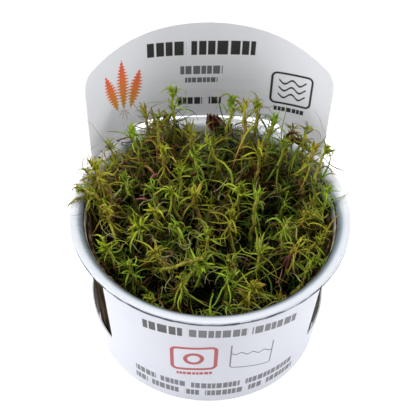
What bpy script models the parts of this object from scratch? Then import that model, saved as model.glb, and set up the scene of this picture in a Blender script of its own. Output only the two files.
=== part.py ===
"""A cup of needle-leaved aquarium stems, grown in a clear plastic cup inside a card sleeve.

Sizes are in millimetres and turn into metres where the points are made. +Z is up, the
origin is the centre of the cup's foot, and the sleeve's tall back panel stands at +Y.
An azimuth is in degrees from the middle of that back panel, positive towards +X.
"""

import math
import random

import bmesh
import bpy
from mathutils import Vector

MM = 0.001
GAP = 0.3                   # clear space kept between neighbouring pieces

# Clear cup: a thin tapered wall with a flat foot and a flange round the rim
CUP_STEPS = 40
FOOT_RADIUS = 32.2
FLOOR_THICKNESS = 1.2
WALL_TOP = 43.6             # height where the wall turns out into the flange
WALL_TOP_RADIUS = 36.3
WALL_THICKNESS = 0.6
FLANGE_RADIUS = 40.0
FLANGE_TOP = 45.75

# Growing gel poured in the cup
GEL_TOP = 10.0
GEL_STEPS = 24

# Card sleeve: one cut sheet wrapped round the cup, given by its inner face
CARD = 0.4
SLEEVE_LOW = 0.3            # the card ends this far above the cup's foot
SLEEVE_FOOT_FRONT = 32.6
SLEEVE_FOOT_BACK = 32.9
BAND_TOP = 43.8             # top edge of the front band, just under the flange
BAND_TOP_RADIUS = 36.93
BAND_HALF = 56.0            # half width of the front band, in degrees
STRAP_TOP = 12.0            # the strap that joins front and back below the side windows
WINDOW_CORNER = 1.5
PANEL_HALF = 57.0           # half width of the back panel, in degrees
PANEL_TOP = 80.8
PANEL_FALL = 3.1            # how far the arch's edge has dropped at PANEL_FALL_AT degrees
PANEL_FALL_AT = 42.0
SHOULDER_RADIUS = 5.0       # round corner at each end of the arch
SHOULDER_START = 50.5
PANEL_RIM_RADIUS = 40.5     # the panel's inner face beside the flange
PANEL_FLARE = 0.05          # outward slope above the flange
RIM_HEIGHT = 45.0
SLOT_HALF = 34.0            # slot that the flange's back edge pokes through
SLOT_LOW = 43.0
SLOT_HIGH = 46.4
SLOT_RISE = 1.2             # the slot's upper edge climbs this much towards its ends
SLOT_END = 4.0              # degrees over which each end is rounded
PANEL_DIP = 1.3             # the panel sits flatter than the flange in the middle of the slot

# Shoots: five-sided stems with whorls of needle leaves
STEM_SIDES = 5
STEM_RADIUS = 0.75
STEM_TIP_RADIUS = 0.55
SHOOT_FOOT = GEL_TOP + GAP
WHORL_BAND = 1.0            # height of the ring that a whorl's leaves grow from
WHORL_PITCH = 5.4
BUD_WHORL_DROP = 1.6        # the top whorl's distance below the stem's tip
LEAF_LENGTH = 6.4
BUD_LEAF_LENGTH = 3.6
SHORTEST_LEAF = 2.2
TALL_SHOOT = 59.0
LOW_SHOOT = 45.5

# Each shoot: foot x and y, then tip x, y and height. The seen shoots were placed by eye.
SHOOTS = [
    # Back row, in front of the arch, left to right
    ((-22.5, 15.0), (-29.0, 19.5, 55.0)),
    ((-18.0, 18.5), (-22.0, 23.5, 56.0)),
    ((-15.0, 23.0), (-18.5, 28.0, 60.0)),
    ((-11.5, 19.5), (-14.5, 25.0, 61.0)),
    ((-8.5, 25.5), (-10.5, 30.0, 66.0)),
    ((-4.5, 20.0), (-5.0, 22.5, 57.0)),
    ((10.5, 15.0), (-0.5, 19.0, 56.0)),
    ((5.5, 24.5), (7.0, 27.5, 65.0)),
    ((8.5, 20.0), (10.5, 24.0, 66.0)),
    ((13.0, 24.5), (14.5, 27.0, 63.0)),
    ((15.5, 19.5), (19.0, 24.0, 60.0)),
    ((20.5, 22.0), (25.0, 23.0, 57.0)),
    ((25.0, 17.5), (28.5, 20.5, 60.0)),
    # Right side
    ((20.5, 16.5), (21.5, 19.0, 56.0)),
    ((24.5, 12.5), (30.5, 16.0, 57.0)),
    ((28.0, 8.0), (33.5, 12.0, 60.0)),
    ((28.0, 1.0), (33.5, 4.0, 51.0)),
    ((22.0, 4.5), (28.5, 0.0, 44.5)),
    ((25.5, -4.5), (30.5, -8.5, 43.5)),
    ((22.0, -14.5), (29.0, -16.0, 44.0)),
    # Left side
    ((-20.5, 4.5), (-33.5, 12.0, 55.0)),
    ((-25.5, 7.5), (-38.0, 5.5, 50.0)),
    ((-17.0, 11.5), (-25.0, 13.0, 48.0)),
    ((-25.0, -0.5), (-29.5, 1.5, 47.0)),
    ((-23.5, -7.5), (-30.5, -10.5, 45.5)),
    ((-17.0, -12.0), (-24.0, -15.5, 42.0)),
    # Middle
    ((-11.0, 14.5), (-13.5, 18.5, 54.0)),
    ((-7.0, 11.0), (-8.5, 12.5, 52.0)),
    ((-2.5, 14.0), (-4.0, 15.5, 55.0)),
    ((15.0, 13.0), (14.5, 17.0, 55.0)),
    ((8.0, 8.5), (8.5, 6.5, 50.0)),
    ((12.5, 2.5), (14.0, 4.0, 50.0)),
    ((-0.5, 4.0), (-5.0, 5.5, 50.0)),
    ((-6.0, 5.5), (-11.5, 6.5, 49.0)),
    ((-12.5, 9.0), (-16.5, 9.0, 48.0)),
    ((-12.5, 4.0), (-16.0, 2.5, 44.5)),
    ((-17.5, -1.0), (-21.5, -2.0, 46.0)),
    ((-7.5, -2.5), (-10.0, -4.5, 46.0)),
    ((5.5, 1.0), (6.0, -1.0, 47.0)),
    ((-0.5, -5.5), (-1.5, -7.0, 46.0)),
    ((19.5, -2.0), (21.5, -3.5, 44.0)),
    # Front
    ((20.0, -9.0), (24.5, -11.5, 45.0)),
    ((12.0, -9.5), (14.0, -12.0, 44.0)),
    ((-9.0, -10.5), (-2.5, -14.5, 43.0)),
    ((-13.5, -7.5), (-15.5, -11.5, 43.0)),
    ((-8.5, -17.0), (-8.5, -22.0, 43.0)),
    ((3.0, -15.5), (5.0, -19.5, 42.0)),
    ((10.0, -18.0), (11.0, -24.0, 42.0)),
    # Lower shoots down in the gaps
    ((-16.5, -19.0), (-17.0, -23.0, 36.0)),
    ((-1.0, -23.5), (-0.5, -28.0, 34.0)),
    ((17.5, -20.5), (19.0, -23.0, 36.0)),
    ((5.5, -9.0), (6.0, -11.0, 37.0)),
    ((20.0, 9.5), (22.5, 9.5, 41.0)),
    ((2.0, 9.5), (1.0, 11.0, 40.0)),
]

# Two shoots lean over the rim at the left: the way point that lifts each clear of the flange
LEANING = {20: (-31.0, 9.0, 49.0), 21: (-31.5, 6.0, 52.0)}

# Dead brown leaf that leans on the back shoots, its tip down by the cup's wall
DEAD_LEAF_CENTRE = (3.2, 32.9, 48.4)
DEAD_LEAF_WIDTH = 6.6
DEAD_LEAF_HEIGHT = 8.6
DEAD_LEAF_LEAN = 2.0        # how much nearer the front its top is than its tip
DEAD_LEAF_FOLD = 0.9
DEAD_LEAF_THICKNESS = 0.5
DEAD_LEAF_CELLS = 3


def point(x, y, z):
    """A point in metres from millimetres."""
    return Vector((x, y, z)) * MM


def plain_material(name, colour, roughness, alpha=1.0, transmission=0.0):
    material = bpy.data.materials.new(name)
    material.use_nodes = True
    shader = material.node_tree.nodes["Principled BSDF"]
    shader.inputs["Base Color"].default_value = (*colour, 1.0)
    shader.inputs["Roughness"].default_value = roughness
    shader.inputs["Metallic"].default_value = 0.0
    shader.inputs["Alpha"].default_value = alpha
    shader.inputs["Transmission Weight"].default_value = transmission
    return material


def finish(name, bm, material, smooth=True):
    """Turns a bmesh into a named object, shaded smooth with its sharp edges kept."""
    mesh = bpy.data.meshes.new(name)
    bm.to_mesh(mesh)
    bm.free()
    if smooth:
        mesh.shade_smooth()
        mesh.set_sharp_from_angle(angle=math.radians(35))
    mesh.materials.append(material)
    piece = bpy.data.objects.new(name, mesh)
    bpy.context.scene.collection.objects.link(piece)
    return piece


def turned(name, profile, steps, material):
    """A closed body turned about Z from a profile of (radius, height) that starts and ends on the axis."""
    bm = bmesh.new()
    line = [bm.verts.new(point(radius, 0, height)) for radius, height in profile]
    edges = [bm.edges.new(pair) for pair in zip(line, line[1:])]
    bmesh.ops.spin(bm, geom=line + edges, cent=(0, 0, 0), axis=(0, 0, 1),
                   angle=math.tau, steps=steps, use_merge=True)
    bmesh.ops.remove_doubles(bm, verts=bm.verts, dist=0.00001)
    bmesh.ops.recalc_face_normals(bm, faces=bm.faces)
    return finish(name, bm, material)


def wall_inner_radius(height):
    """Inner radius of the cup's wall."""
    foot = FOOT_RADIUS - WALL_THICKNESS - 0.2
    share = (height - FLOOR_THICKNESS) / (WALL_TOP - FLOOR_THICKNESS)
    return foot + (WALL_TOP_RADIUS - WALL_THICKNESS - foot) * min(share, 1.0)


def make_cup():
    profile = [
        (0, 0), (FOOT_RADIUS - 0.6, 0), (FOOT_RADIUS, 0.7),
        (WALL_TOP_RADIUS, WALL_TOP), (WALL_TOP_RADIUS + 0.7, WALL_TOP + 0.8),
        (FLANGE_RADIUS, FLANGE_TOP - 0.85), (FLANGE_RADIUS, FLANGE_TOP - 0.25),
        (FLANGE_RADIUS - 0.4, FLANGE_TOP), (FLANGE_RADIUS - 2.9, FLANGE_TOP - 0.75),
        (WALL_TOP_RADIUS - WALL_THICKNESS, WALL_TOP),
        (wall_inner_radius(FLOOR_THICKNESS), FLOOR_THICKNESS), (0, FLOOR_THICKNESS),
    ]
    clear = plain_material("clear_plastic", (0.93, 0.95, 0.96), 0.12, 0.35, 0.9)
    return turned("cup", profile, CUP_STEPS, clear)


def make_gel():
    low = FLOOR_THICKNESS + GAP
    profile = [
        (0, low), (wall_inner_radius(low) - 1.5 * GAP, low),
        (wall_inner_radius(GEL_TOP) - 1.5 * GAP, GEL_TOP), (0, GEL_TOP),
    ]
    brown = plain_material("rooted_gel", (0.09, 0.065, 0.035), 0.45)
    return turned("growing_gel", profile, GEL_STEPS, brown)


def smooth_step(value):
    value = max(0.0, min(1.0, value))
    return value * value * (3 - 2 * value)


def panel_dip(azimuth, height):
    """How far the back panel is drawn in, most where the flange pokes through the slot."""
    turn = abs(azimuth) / (SLOT_HALF - 1.0)
    if turn >= 1:
        return 0.0
    if height < RIM_HEIGHT:
        share = smooth_step((height - STRAP_TOP) / (RIM_HEIGHT - STRAP_TOP))
    else:
        share = 1 - 0.5 * (height - RIM_HEIGHT) / (PANEL_TOP - RIM_HEIGHT)
    return PANEL_DIP * share * math.cos(turn * math.pi / 2) ** 2


def sleeve_radius(azimuth, height):
    """The sleeve's inner face: a cone in front, a wider one behind, blended across the windows."""
    front = SLEEVE_FOOT_FRONT + (BAND_TOP_RADIUS - SLEEVE_FOOT_FRONT) * height / BAND_TOP
    if height < RIM_HEIGHT:
        back = SLEEVE_FOOT_BACK + (PANEL_RIM_RADIUS - SLEEVE_FOOT_BACK) * height / RIM_HEIGHT
    else:
        back = PANEL_RIM_RADIUS + PANEL_FLARE * (height - RIM_HEIGHT)
    back -= panel_dip(azimuth, height)
    turn = (abs(azimuth) - PANEL_HALF) / (180 - BAND_HALF - PANEL_HALF)
    return back + (front - back) * smooth_step(turn)


def panel_edge(azimuth):
    """Height of the arch's edge, with a round shoulder at each end."""
    turn = abs(azimuth)
    level = PANEL_TOP - PANEL_FALL * (min(turn, SHOULDER_START) / PANEL_FALL_AT) ** 2
    if turn <= SHOULDER_START:
        return level
    along = SHOULDER_RADIUS * (turn - SHOULDER_START) / (PANEL_HALF - SHOULDER_START)
    return level - SHOULDER_RADIUS + math.sqrt(max(0.0, SHOULDER_RADIUS ** 2 - along ** 2))


def slot_edges(azimuth):
    """Lower and upper edge of the slot. They meet where there is no slot."""
    turn = abs(azimuth)
    middle = (SLOT_LOW + SLOT_HIGH + SLOT_RISE) / 2
    if turn >= SLOT_HALF:
        return middle, middle
    high = SLOT_HIGH + SLOT_RISE * min(1.0, turn / (SLOT_HALF - SLOT_END)) ** 2
    into_end = max(0.0, turn - (SLOT_HALF - SLOT_END)) / SLOT_END
    opening = math.sqrt(1 - into_end ** 2)
    return middle - (middle - SLOT_LOW) * opening, middle + (high - middle) * opening


def make_sleeve():
    """One sheet of cells between columns, thickened outwards by the card."""
    strap_ends = [PANEL_HALF + 3, 180 - BAND_HALF - 3]
    half = [0, 8, 16, 24, SLOT_HALF - SLOT_END, 32.8, SLOT_HALF, 42, SHOULDER_START, 54, 56]
    half += [PANEL_HALF, strap_ends[0], 70, 80, 90, 100, 110, strap_ends[1], 180 - BAND_HALF]
    half += [133, 142, 151, 161, 171, 180]
    columns = [-turn for turn in reversed(half[1:-1])] + half

    bm = bmesh.new()
    grid = {}

    def corner(azimuth, height):
        key = (round(azimuth, 3), round(height, 3))
        if key not in grid:
            turn = math.radians(azimuth)
            radius = sleeve_radius(azimuth, height)
            grid[key] = bm.verts.new(point(radius * math.sin(turn), radius * math.cos(turn), height))
        return grid[key]

    def rows(azimuth):
        """The heights of a column's rows: foot, strap, slot, slot, middle of the arch, edge."""
        turn = abs(azimuth)
        if turn > PANEL_HALF and turn < 180 - BAND_HALF:
            return [SLEEVE_LOW, STRAP_TOP]
        strap = STRAP_TOP + WINDOW_CORNER
        if turn >= 180 - BAND_HALF:
            return [SLEEVE_LOW, strap, BAND_TOP]
        edge = panel_edge(azimuth)
        low, high = slot_edges(azimuth)
        return [SLEEVE_LOW, strap, low, high, (high + edge) / 2, edge]

    for left, right in zip(columns, columns[1:] + columns[:1]):
        a, b = rows(left), rows(right)
        for level in range(min(len(a), len(b)) - 1):
            is_slot = level == 2 and (a[2] != a[3] or b[2] != b[3])
            if is_slot:
                continue
            ring = [corner(left, a[level]), corner(left, a[level + 1]),
                    corner(right, b[level + 1]), corner(right, b[level])]
            ring = list(dict.fromkeys(ring))
            if len(ring) > 2:
                bm.faces.new(ring)
    white = plain_material("white_card", (0.86, 0.87, 0.9), 0.55)
    sleeve = finish("sleeve", bm, white)
    thickness = sleeve.modifiers.new("card", "SOLIDIFY")
    thickness.thickness = CARD * MM
    thickness.offset = 1.0
    return sleeve


def stem_line(foot, tip, way_point):
    """A stem's centre line: up from the gel, then leaning over to its tip."""
    rise = tip[2] - SHOOT_FOOT
    start = Vector((foot[0], foot[1], SHOOT_FOOT))
    end = Vector(tip)
    lift = start + Vector((0, 0, 0.5 * rise))
    bend = Vector(way_point) if way_point else start.lerp(end, 0.7)
    bend.z = way_point[2] if way_point else end.z - 0.22 * rise

    def at(share):
        rest = 1 - share
        return (start * rest ** 3 + lift * (3 * share * rest ** 2)
                + bend * (3 * share ** 2 * rest) + end * share ** 3)

    return at


class Shoot:
    """One stem: its rings from the foot up, and the whorls that its leaves grow from."""

    SAMPLES = 80

    def __init__(self, number, foot, tip):
        self.number = number
        self.at = stem_line(foot, tip, LEANING.get(number))
        self.runs = [0.0]
        for step in range(self.SAMPLES):
            part = self.at((step + 1) / self.SAMPLES) - self.at(step / self.SAMPLES)
            self.runs.append(self.runs[-1] + part.length)
        self.length = self.runs[-1]
        count = 6 if tip[2] >= TALL_SHOOT else 4 if tip[2] < LOW_SHOOT else 5
        self.whorls = [self.length - BUD_WHORL_DROP - WHORL_PITCH * step for step in range(count)]
        self.leaves = {}

    def frame(self, distance):
        """Centre, direction, and two sideways axes of the stem at a distance along it."""
        step = sum(run < distance for run in self.runs[1:-1])
        part = (distance - self.runs[step]) / (self.runs[step + 1] - self.runs[step])
        share = (step + part) / self.SAMPLES
        ahead = (self.at(min(1, share + 0.01)) - self.at(max(0, share - 0.01))).normalized()
        side = Vector((0, 1, 0)).cross(ahead).normalized()
        return self.at(share), ahead, side, ahead.cross(side)

    def ring(self, distance):
        centre, _, side, front = self.frame(distance)
        size = STEM_RADIUS + (STEM_TIP_RADIUS - STEM_RADIUS) * distance / self.length
        turns = [math.tau * corner / STEM_SIDES for corner in range(STEM_SIDES)]
        return [centre + (side * math.cos(turn) + front * math.sin(turn)) * size for turn in turns]

    def leaf_root(self, whorl, place, lift, sway):
        """Root and direction of a leaf. Lift is its angle up from the stem's side."""
        centre, ahead, side, front = self.frame(self.whorls[whorl])
        turn = math.tau * (place + 0.5) / STEM_SIDES
        root = centre + (side * math.cos(turn) + front * math.sin(turn)) * 0.8 * STEM_TIP_RADIUS
        out = side * math.cos(turn + sway) + front * math.sin(turn + sway)
        return root, (out * math.cos(lift) + ahead * math.sin(lift)).normalized()

    def stem_points(self):
        """Points every 0.8 mm or so along the straight stretches between the stem's rings."""
        knots = [0.0] + sorted(self.whorls) + [self.length]
        centres = [self.frame(knot)[0] for knot in knots]
        for low, high in zip(centres, centres[1:]):
            count = math.ceil((high - low).length / 0.8)
            for step in range(count + 1):
                yield low.lerp(high, step / count)


class Space:
    """The balls that stems and leaves already fill, kept in a grid of small boxes."""

    CELL = 4.0

    def __init__(self):
        self.boxes = {}

    def add(self, owner, centre, radius):
        key = tuple(math.floor(value / self.CELL) for value in centre)
        self.boxes.setdefault(key, []).append((owner, centre, radius))

    def near(self, centre):
        x, y, z = (math.floor(value / self.CELL) for value in centre)
        for step in range(27):
            key = (x + step % 3 - 1, y + step // 3 % 3 - 1, z + step // 9 - 1)
            yield from self.boxes.get(key, [])

    def is_free(self, centre, radius, own):
        """Whether a ball keeps its gap to the cup, the sleeve and all that isn't its own."""
        reach = math.hypot(centre.x, centre.y) + radius + GAP
        if centre.z < FLANGE_TOP + GAP + radius and reach > wall_inner_radius(centre.z):
            return False
        azimuth = math.degrees(math.atan2(centre.x, centre.y))
        panel = sleeve_radius(azimuth, max(centre.z, RIM_HEIGHT))
        if abs(azimuth) < PANEL_HALF + 3 and reach > panel:
            return False
        if centre.z - radius < GEL_TOP + GAP:
            return False
        return all(owner in own or (place - centre).length >= size + radius + GAP
                   for owner, place, size in self.near(centre))


def leaf_balls(root, tip):
    """Balls along a leaf that narrows from its root to its tip."""
    count = max(2, round((tip - root).length / 0.7))
    for step in range(1, count + 1):
        share = step / count
        yield root.lerp(tip, share), 0.62 * (1 - share) + 0.12


def grow_leaves(shoots):
    """Each leaf grows to its full length, or until it would touch a neighbour."""
    rng = random.Random(11)
    space = Space()
    for shoot in shoots:
        for centre in shoot.stem_points():
            space.add((shoot.number, "stem"), centre, STEM_RADIUS + 0.05)
    for whorl in range(6):
        for shoot in shoots:
            if whorl >= len(shoot.whorls):
                continue
            own = {(shoot.number, "stem"), (shoot.number, whorl)}
            for place in range(STEM_SIDES):
                if whorl == 0:
                    full, lift = BUD_LEAF_LENGTH, math.radians(rng.uniform(48, 66))
                else:
                    full, lift = LEAF_LENGTH, math.radians(rng.uniform(38, 50) - 9 * whorl)
                full *= rng.uniform(0.85, 1.15)
                root, way = shoot.leaf_root(whorl, place, lift, math.radians(rng.uniform(-20, 20)))
                for share in (1.0, 0.85, 0.7, 0.55, 0.4):
                    tip = root + way * full * share
                    balls = list(leaf_balls(root, tip))
                    if full * share < SHORTEST_LEAF:
                        break
                    if all(space.is_free(centre, radius, own) for centre, radius in balls):
                        shoot.leaves[whorl, place] = tip
                        for centre, radius in balls:
                            space.add((shoot.number, whorl), centre, radius)
                        break


def make_shoot(shoot, material):
    """The stem's rings joined into a tube, with each leaf drawn out of a side of its whorl's band."""
    bm = bmesh.new()

    def new_ring(distance):
        return [bm.verts.new(corner * MM) for corner in shoot.ring(distance)]

    below = new_ring(0.0)
    bm.faces.new(reversed(below))
    for whorl in reversed(range(len(shoot.whorls))):
        low = new_ring(shoot.whorls[whorl] - WHORL_BAND / 2)
        high = new_ring(shoot.whorls[whorl] + WHORL_BAND / 2)
        for place in range(STEM_SIDES):
            after = (place + 1) % STEM_SIDES
            bm.faces.new((below[place], below[after], low[after], low[place]))
            sides = [low[place], low[after], high[after], high[place]]
            if (whorl, place) in shoot.leaves:
                tip = bm.verts.new(shoot.leaves[whorl, place] * MM)
                for first, second in zip(sides, sides[1:] + sides[:1]):
                    bm.faces.new((first, second, tip))
            else:
                bm.faces.new(sides)
        below = high
    top = bm.verts.new(shoot.at(1.0) * MM)
    for place in range(STEM_SIDES):
        bm.faces.new((below[place], below[(place + 1) % STEM_SIDES], top))
    return finish(f"shoot_{shoot.number + 1:02d}", bm, material, smooth=False)


def make_shoots():
    greens = [
        plain_material("leaf_olive", (0.19, 0.22, 0.03), 0.5),
        plain_material("leaf_fresh", (0.24, 0.36, 0.04), 0.45),
        plain_material("leaf_bronze", (0.26, 0.17, 0.04), 0.5),
    ]
    shoots = [Shoot(number, foot, tip) for number, (foot, tip) in enumerate(SHOOTS)]
    grow_leaves(shoots)
    for shoot in shoots:
        make_shoot(shoot, greens[shoot.number % len(greens)])


def make_dead_leaf():
    """A dry leaf, crumpled in folds, narrow at its lower tip."""
    rng = random.Random(3)
    bm = bmesh.new()
    grid = []
    x, y, z = DEAD_LEAF_CENTRE
    for row in range(DEAD_LEAF_CELLS + 1):
        up = row / DEAD_LEAF_CELLS - 0.5
        wide = DEAD_LEAF_WIDTH * math.sin(math.pi * (0.47 + 0.77 * up))
        line = []
        for column in range(DEAD_LEAF_CELLS + 1):
            across = column / DEAD_LEAF_CELLS - 0.5
            fold = DEAD_LEAF_FOLD * (-1) ** column + rng.uniform(-0.4, 0.4)
            line.append(bm.verts.new(point(
                x + wide * across, y + fold - DEAD_LEAF_LEAN * up,
                z + DEAD_LEAF_HEIGHT * up + rng.uniform(-0.4, 0.4))))
        grid.append(line)
    for low, high in zip(grid, grid[1:]):
        for column in range(DEAD_LEAF_CELLS):
            bm.faces.new((low[column], low[column + 1], high[column + 1], high[column]))
    brown = plain_material("dry_leaf", (0.11, 0.045, 0.02), 0.6)
    leaf = finish("dead_leaf", bm, brown, smooth=False)
    thickness = leaf.modifiers.new("leaf", "SOLIDIFY")
    thickness.thickness = DEAD_LEAF_THICKNESS * MM
    thickness.offset = 0.0


for leftover in list(bpy.data.objects):
    bpy.data.objects.remove(leftover, do_unlink=True)

make_cup()
make_gel()
make_sleeve()
make_shoots()
make_dead_leaf()
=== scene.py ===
import math

import bmesh
import bpy
import numpy as np
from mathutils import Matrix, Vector, noise


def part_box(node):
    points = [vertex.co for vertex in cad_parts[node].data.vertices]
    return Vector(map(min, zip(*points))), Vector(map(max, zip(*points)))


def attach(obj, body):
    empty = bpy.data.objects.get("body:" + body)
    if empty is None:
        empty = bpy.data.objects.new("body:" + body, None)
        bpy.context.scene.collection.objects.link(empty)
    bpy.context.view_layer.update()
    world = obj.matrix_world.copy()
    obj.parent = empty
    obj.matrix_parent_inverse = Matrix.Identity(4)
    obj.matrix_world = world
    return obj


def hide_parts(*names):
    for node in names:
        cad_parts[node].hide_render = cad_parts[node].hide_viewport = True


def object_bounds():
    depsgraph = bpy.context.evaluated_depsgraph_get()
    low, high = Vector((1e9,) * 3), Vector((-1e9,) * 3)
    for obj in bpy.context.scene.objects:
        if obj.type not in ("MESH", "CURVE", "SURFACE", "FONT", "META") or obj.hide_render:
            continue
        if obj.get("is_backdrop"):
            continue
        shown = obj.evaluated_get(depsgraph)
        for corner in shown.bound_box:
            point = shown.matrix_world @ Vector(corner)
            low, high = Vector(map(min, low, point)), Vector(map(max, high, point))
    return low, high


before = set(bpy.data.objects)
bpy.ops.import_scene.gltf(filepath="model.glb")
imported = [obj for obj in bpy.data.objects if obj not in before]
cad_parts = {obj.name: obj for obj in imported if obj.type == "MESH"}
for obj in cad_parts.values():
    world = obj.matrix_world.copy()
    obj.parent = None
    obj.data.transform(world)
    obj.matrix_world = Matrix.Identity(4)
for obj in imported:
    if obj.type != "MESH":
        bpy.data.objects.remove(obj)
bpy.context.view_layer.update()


# The clear cup, thermoformed from one sheet of clear plastic. A flat foot, a thin tapered
# wall, a small step under the rim, and a wide flange whose outer lip is rolled down a little.
MM = 0.001
CUP_SIDES = 160
CUP_FOOT = 31.4
CUP_RINGS = [
    # Up the outside, round the lip and down the inside: radius and height in millimetres
    (31.9, 0.25), (32.2, 0.9), (33.5, 14.0), (34.8, 28.5), (35.6, 37.0), (36.0, 41.0),
    (36.3, 43.5), (36.6, 44.1), (37.3, 44.45), (38.6, 44.62), (39.3, 44.5), (39.6, 44.3),
    (39.85, 44.3), (39.97, 44.5), (39.97, 44.95), (39.97, 45.35), (39.75, 45.62), (39.3, 45.74),
    (38.6, 45.66), (37.8, 45.36), (37.2, 45.05), (36.75, 44.75), (36.3, 44.2), (35.85, 43.75),
    (35.65, 43.2), (35.4, 41.0), (34.9, 36.0), (34.4, 31.0), (33.9, 25.5), (32.9, 14.0),
    (31.7, 2.4), (31.2, 1.5), (30.4, 1.2), (20.0, 1.2), (8.0, 1.2),
]
LIP_REACH, LIP_LOW, LIP_TOP = 38, 44, 45.8      # where the outer lip starts, its bottom and its top
LIP_WAVES, LIP_WAVE = 12, 0.3                   # how closely it waves, and how far in millimetres


def deselect_all():
    for thing in bpy.context.selected_objects:
        thing.select_set(False)


def add_disc(name, radius, height, sides):
    """A flat disc, left open in edit mode with all of it selected."""
    deselect_all()
    bpy.ops.mesh.primitive_circle_add(
        vertices=sides, radius=radius * MM, fill_type="NGON", location=(0, 0, 0))
    disc = bpy.context.object
    disc.name = disc.data.name = name
    bpy.ops.object.mode_set(mode="EDIT")
    bpy.ops.mesh.select_all(action="SELECT")
    bpy.ops.transform.translate(value=(0, 0, height * MM))
    return disc


def extrude_rings(radius, height, rings):
    """Extrudes the selected face from ring to ring."""
    for wide, high in rings:
        bpy.ops.mesh.extrude_region_move(
            TRANSFORM_OT_translate={"value": (0, 0, (high - height) * MM)})
        bpy.ops.transform.resize(
            value=(wide / radius, wide / radius, 1), center_override=(0, 0, high * MM))
        radius, height = wide, high


def close_piece(piece, angle=32):
    """Turns the faces outwards, leaves edit mode and shades the piece smooth up to an angle."""
    bpy.ops.mesh.select_all(action="SELECT")
    bpy.ops.mesh.normals_make_consistent(inside=False)
    bpy.ops.object.mode_set(mode="OBJECT")
    deselect_all()
    piece.select_set(True)
    bpy.context.view_layer.objects.active = piece
    bpy.ops.object.shade_smooth_by_angle(angle=math.radians(angle))
    piece.select_set(False)


def ring_noise(turn, waves, layer=0.0):
    """Noise round a ring, whose end meets its start."""
    return noise.noise(Vector((waves * math.cos(turn), waves * math.sin(turn), layer)))


class Wire:
    """A node's output that can be added, multiplied and compared in a Python expression."""

    def __init__(self, paint, socket):
        self.paint, self.socket = paint, socket

    def math(self, operation, *others):
        return self.paint.node(
            "ShaderNodeMath", {"operation": operation}, dict(enumerate((self, *others))))

    def __add__(self, other):
        return self.math("ADD", other)

    __radd__ = __add__

    def __sub__(self, other):
        return self.math("SUBTRACT", other)

    def __rsub__(self, other):
        return self.paint.node("ShaderNodeMath", {"operation": "SUBTRACT"}, {0: other, 1: self})

    def __mul__(self, other):
        return self.math("MULTIPLY", other)

    __rmul__ = __mul__

    def __truediv__(self, other):
        return self.math("DIVIDE", other)

    def __abs__(self):
        return self.math("ABSOLUTE")

    def __pow__(self, power):
        return self.math("POWER", power)

    def clamped(self):
        return self.paint.node("ShaderNodeClamp", {}, {"Value": self})


class Paint:
    """A material, whose shader takes plain values when it is made and wires afterwards."""

    def __init__(self, name, **values):
        self.material = bpy.data.materials.new(name)
        self.material.use_nodes = True
        self.tree = self.material.node_tree
        self.shader = self.tree.nodes["Principled BSDF"]
        for key, value in values.items():
            self.shader_socket(key).default_value = value

    def shader_socket(self, key):
        return self.shader.inputs[key.replace("_", " ").title().replace("Ior", "IOR")]

    def node(self, kind, settings, sockets, output=0):
        made = self.tree.nodes.new(kind)
        for key, value in settings.items():
            if key == "stops":
                ramp = made.color_ramp.elements
                while len(ramp) < len(value):
                    ramp.new(0.5)
                for stop, (place, colour) in zip(ramp, value):
                    stop.position, stop.color = place, (*colour, 1)
            else:
                setattr(made, key, value)
        for key, value in sockets.items():
            if isinstance(value, Wire):
                self.tree.links.new(value.socket, made.inputs[key])
            else:
                if isinstance(value, tuple) and made.inputs[key].type == "RGBA":
                    value = (*value, 1)
                made.inputs[key].default_value = value
        return Wire(self, made.outputs[output])

    def place(self):
        """The point of the surface in metres, in the piece's own frame."""
        return self.node("ShaderNodeTexCoord", {}, {}, "Object")

    def along(self, vector, axis):
        return self.node("ShaderNodeSeparateXYZ", {}, {"Vector": vector}, axis)

    def reach(self, place):
        """Distance from the cup's axis in millimetres."""
        return (self.along(place, "X") ** 2 + self.along(place, "Y") ** 2).math("SQRT") * 1000

    def noise(self, scale, detail, stretch=(1, 1, 1)):
        """Noise from 0 to 1, with so many blots to the metre."""
        vector = self.place()
        if stretch != (1, 1, 1):
            vector = self.node("ShaderNodeMapping", {}, {"Vector": vector, "Scale": stretch})
        return self.node("ShaderNodeTexNoise", {}, {"Vector": vector, "Scale": scale, "Detail": detail})

    def ramp(self, factor, stops):
        return self.node("ShaderNodeValToRGB", {"stops": stops}, {"Fac": factor})

    def mix(self, factor, first, second):
        return self.node("ShaderNodeMix", {"data_type": "RGBA"}, {0: factor, 6: first, 7: second}, 2)

    def bump(self, height, strength, depth):
        return self.node("ShaderNodeBump", {}, {"Height": height, "Strength": strength, "Distance": depth})

    def feed(self, **wires):
        for key, wire in wires.items():
            self.tree.links.new(wire.socket, self.shader_socket(key))
        return self.material


cup = add_disc("clear_cup", CUP_FOOT, 0, CUP_SIDES)
extrude_rings(CUP_FOOT, 0, CUP_RINGS)
close_piece(cup)
for corner in cup.data.vertices:
    reach = math.hypot(corner.co.x, corner.co.y) / MM
    if corner.co.z > LIP_LOW * MM and reach > LIP_REACH:
        wave = LIP_WAVE * MM * ring_noise(math.atan2(corner.co.y, corner.co.x), LIP_WAVES)
        corner.co.z += wave * min(1, reach - LIP_REACH) * min(1, (LIP_TOP * MM - corner.co.z) / MM)

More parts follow.
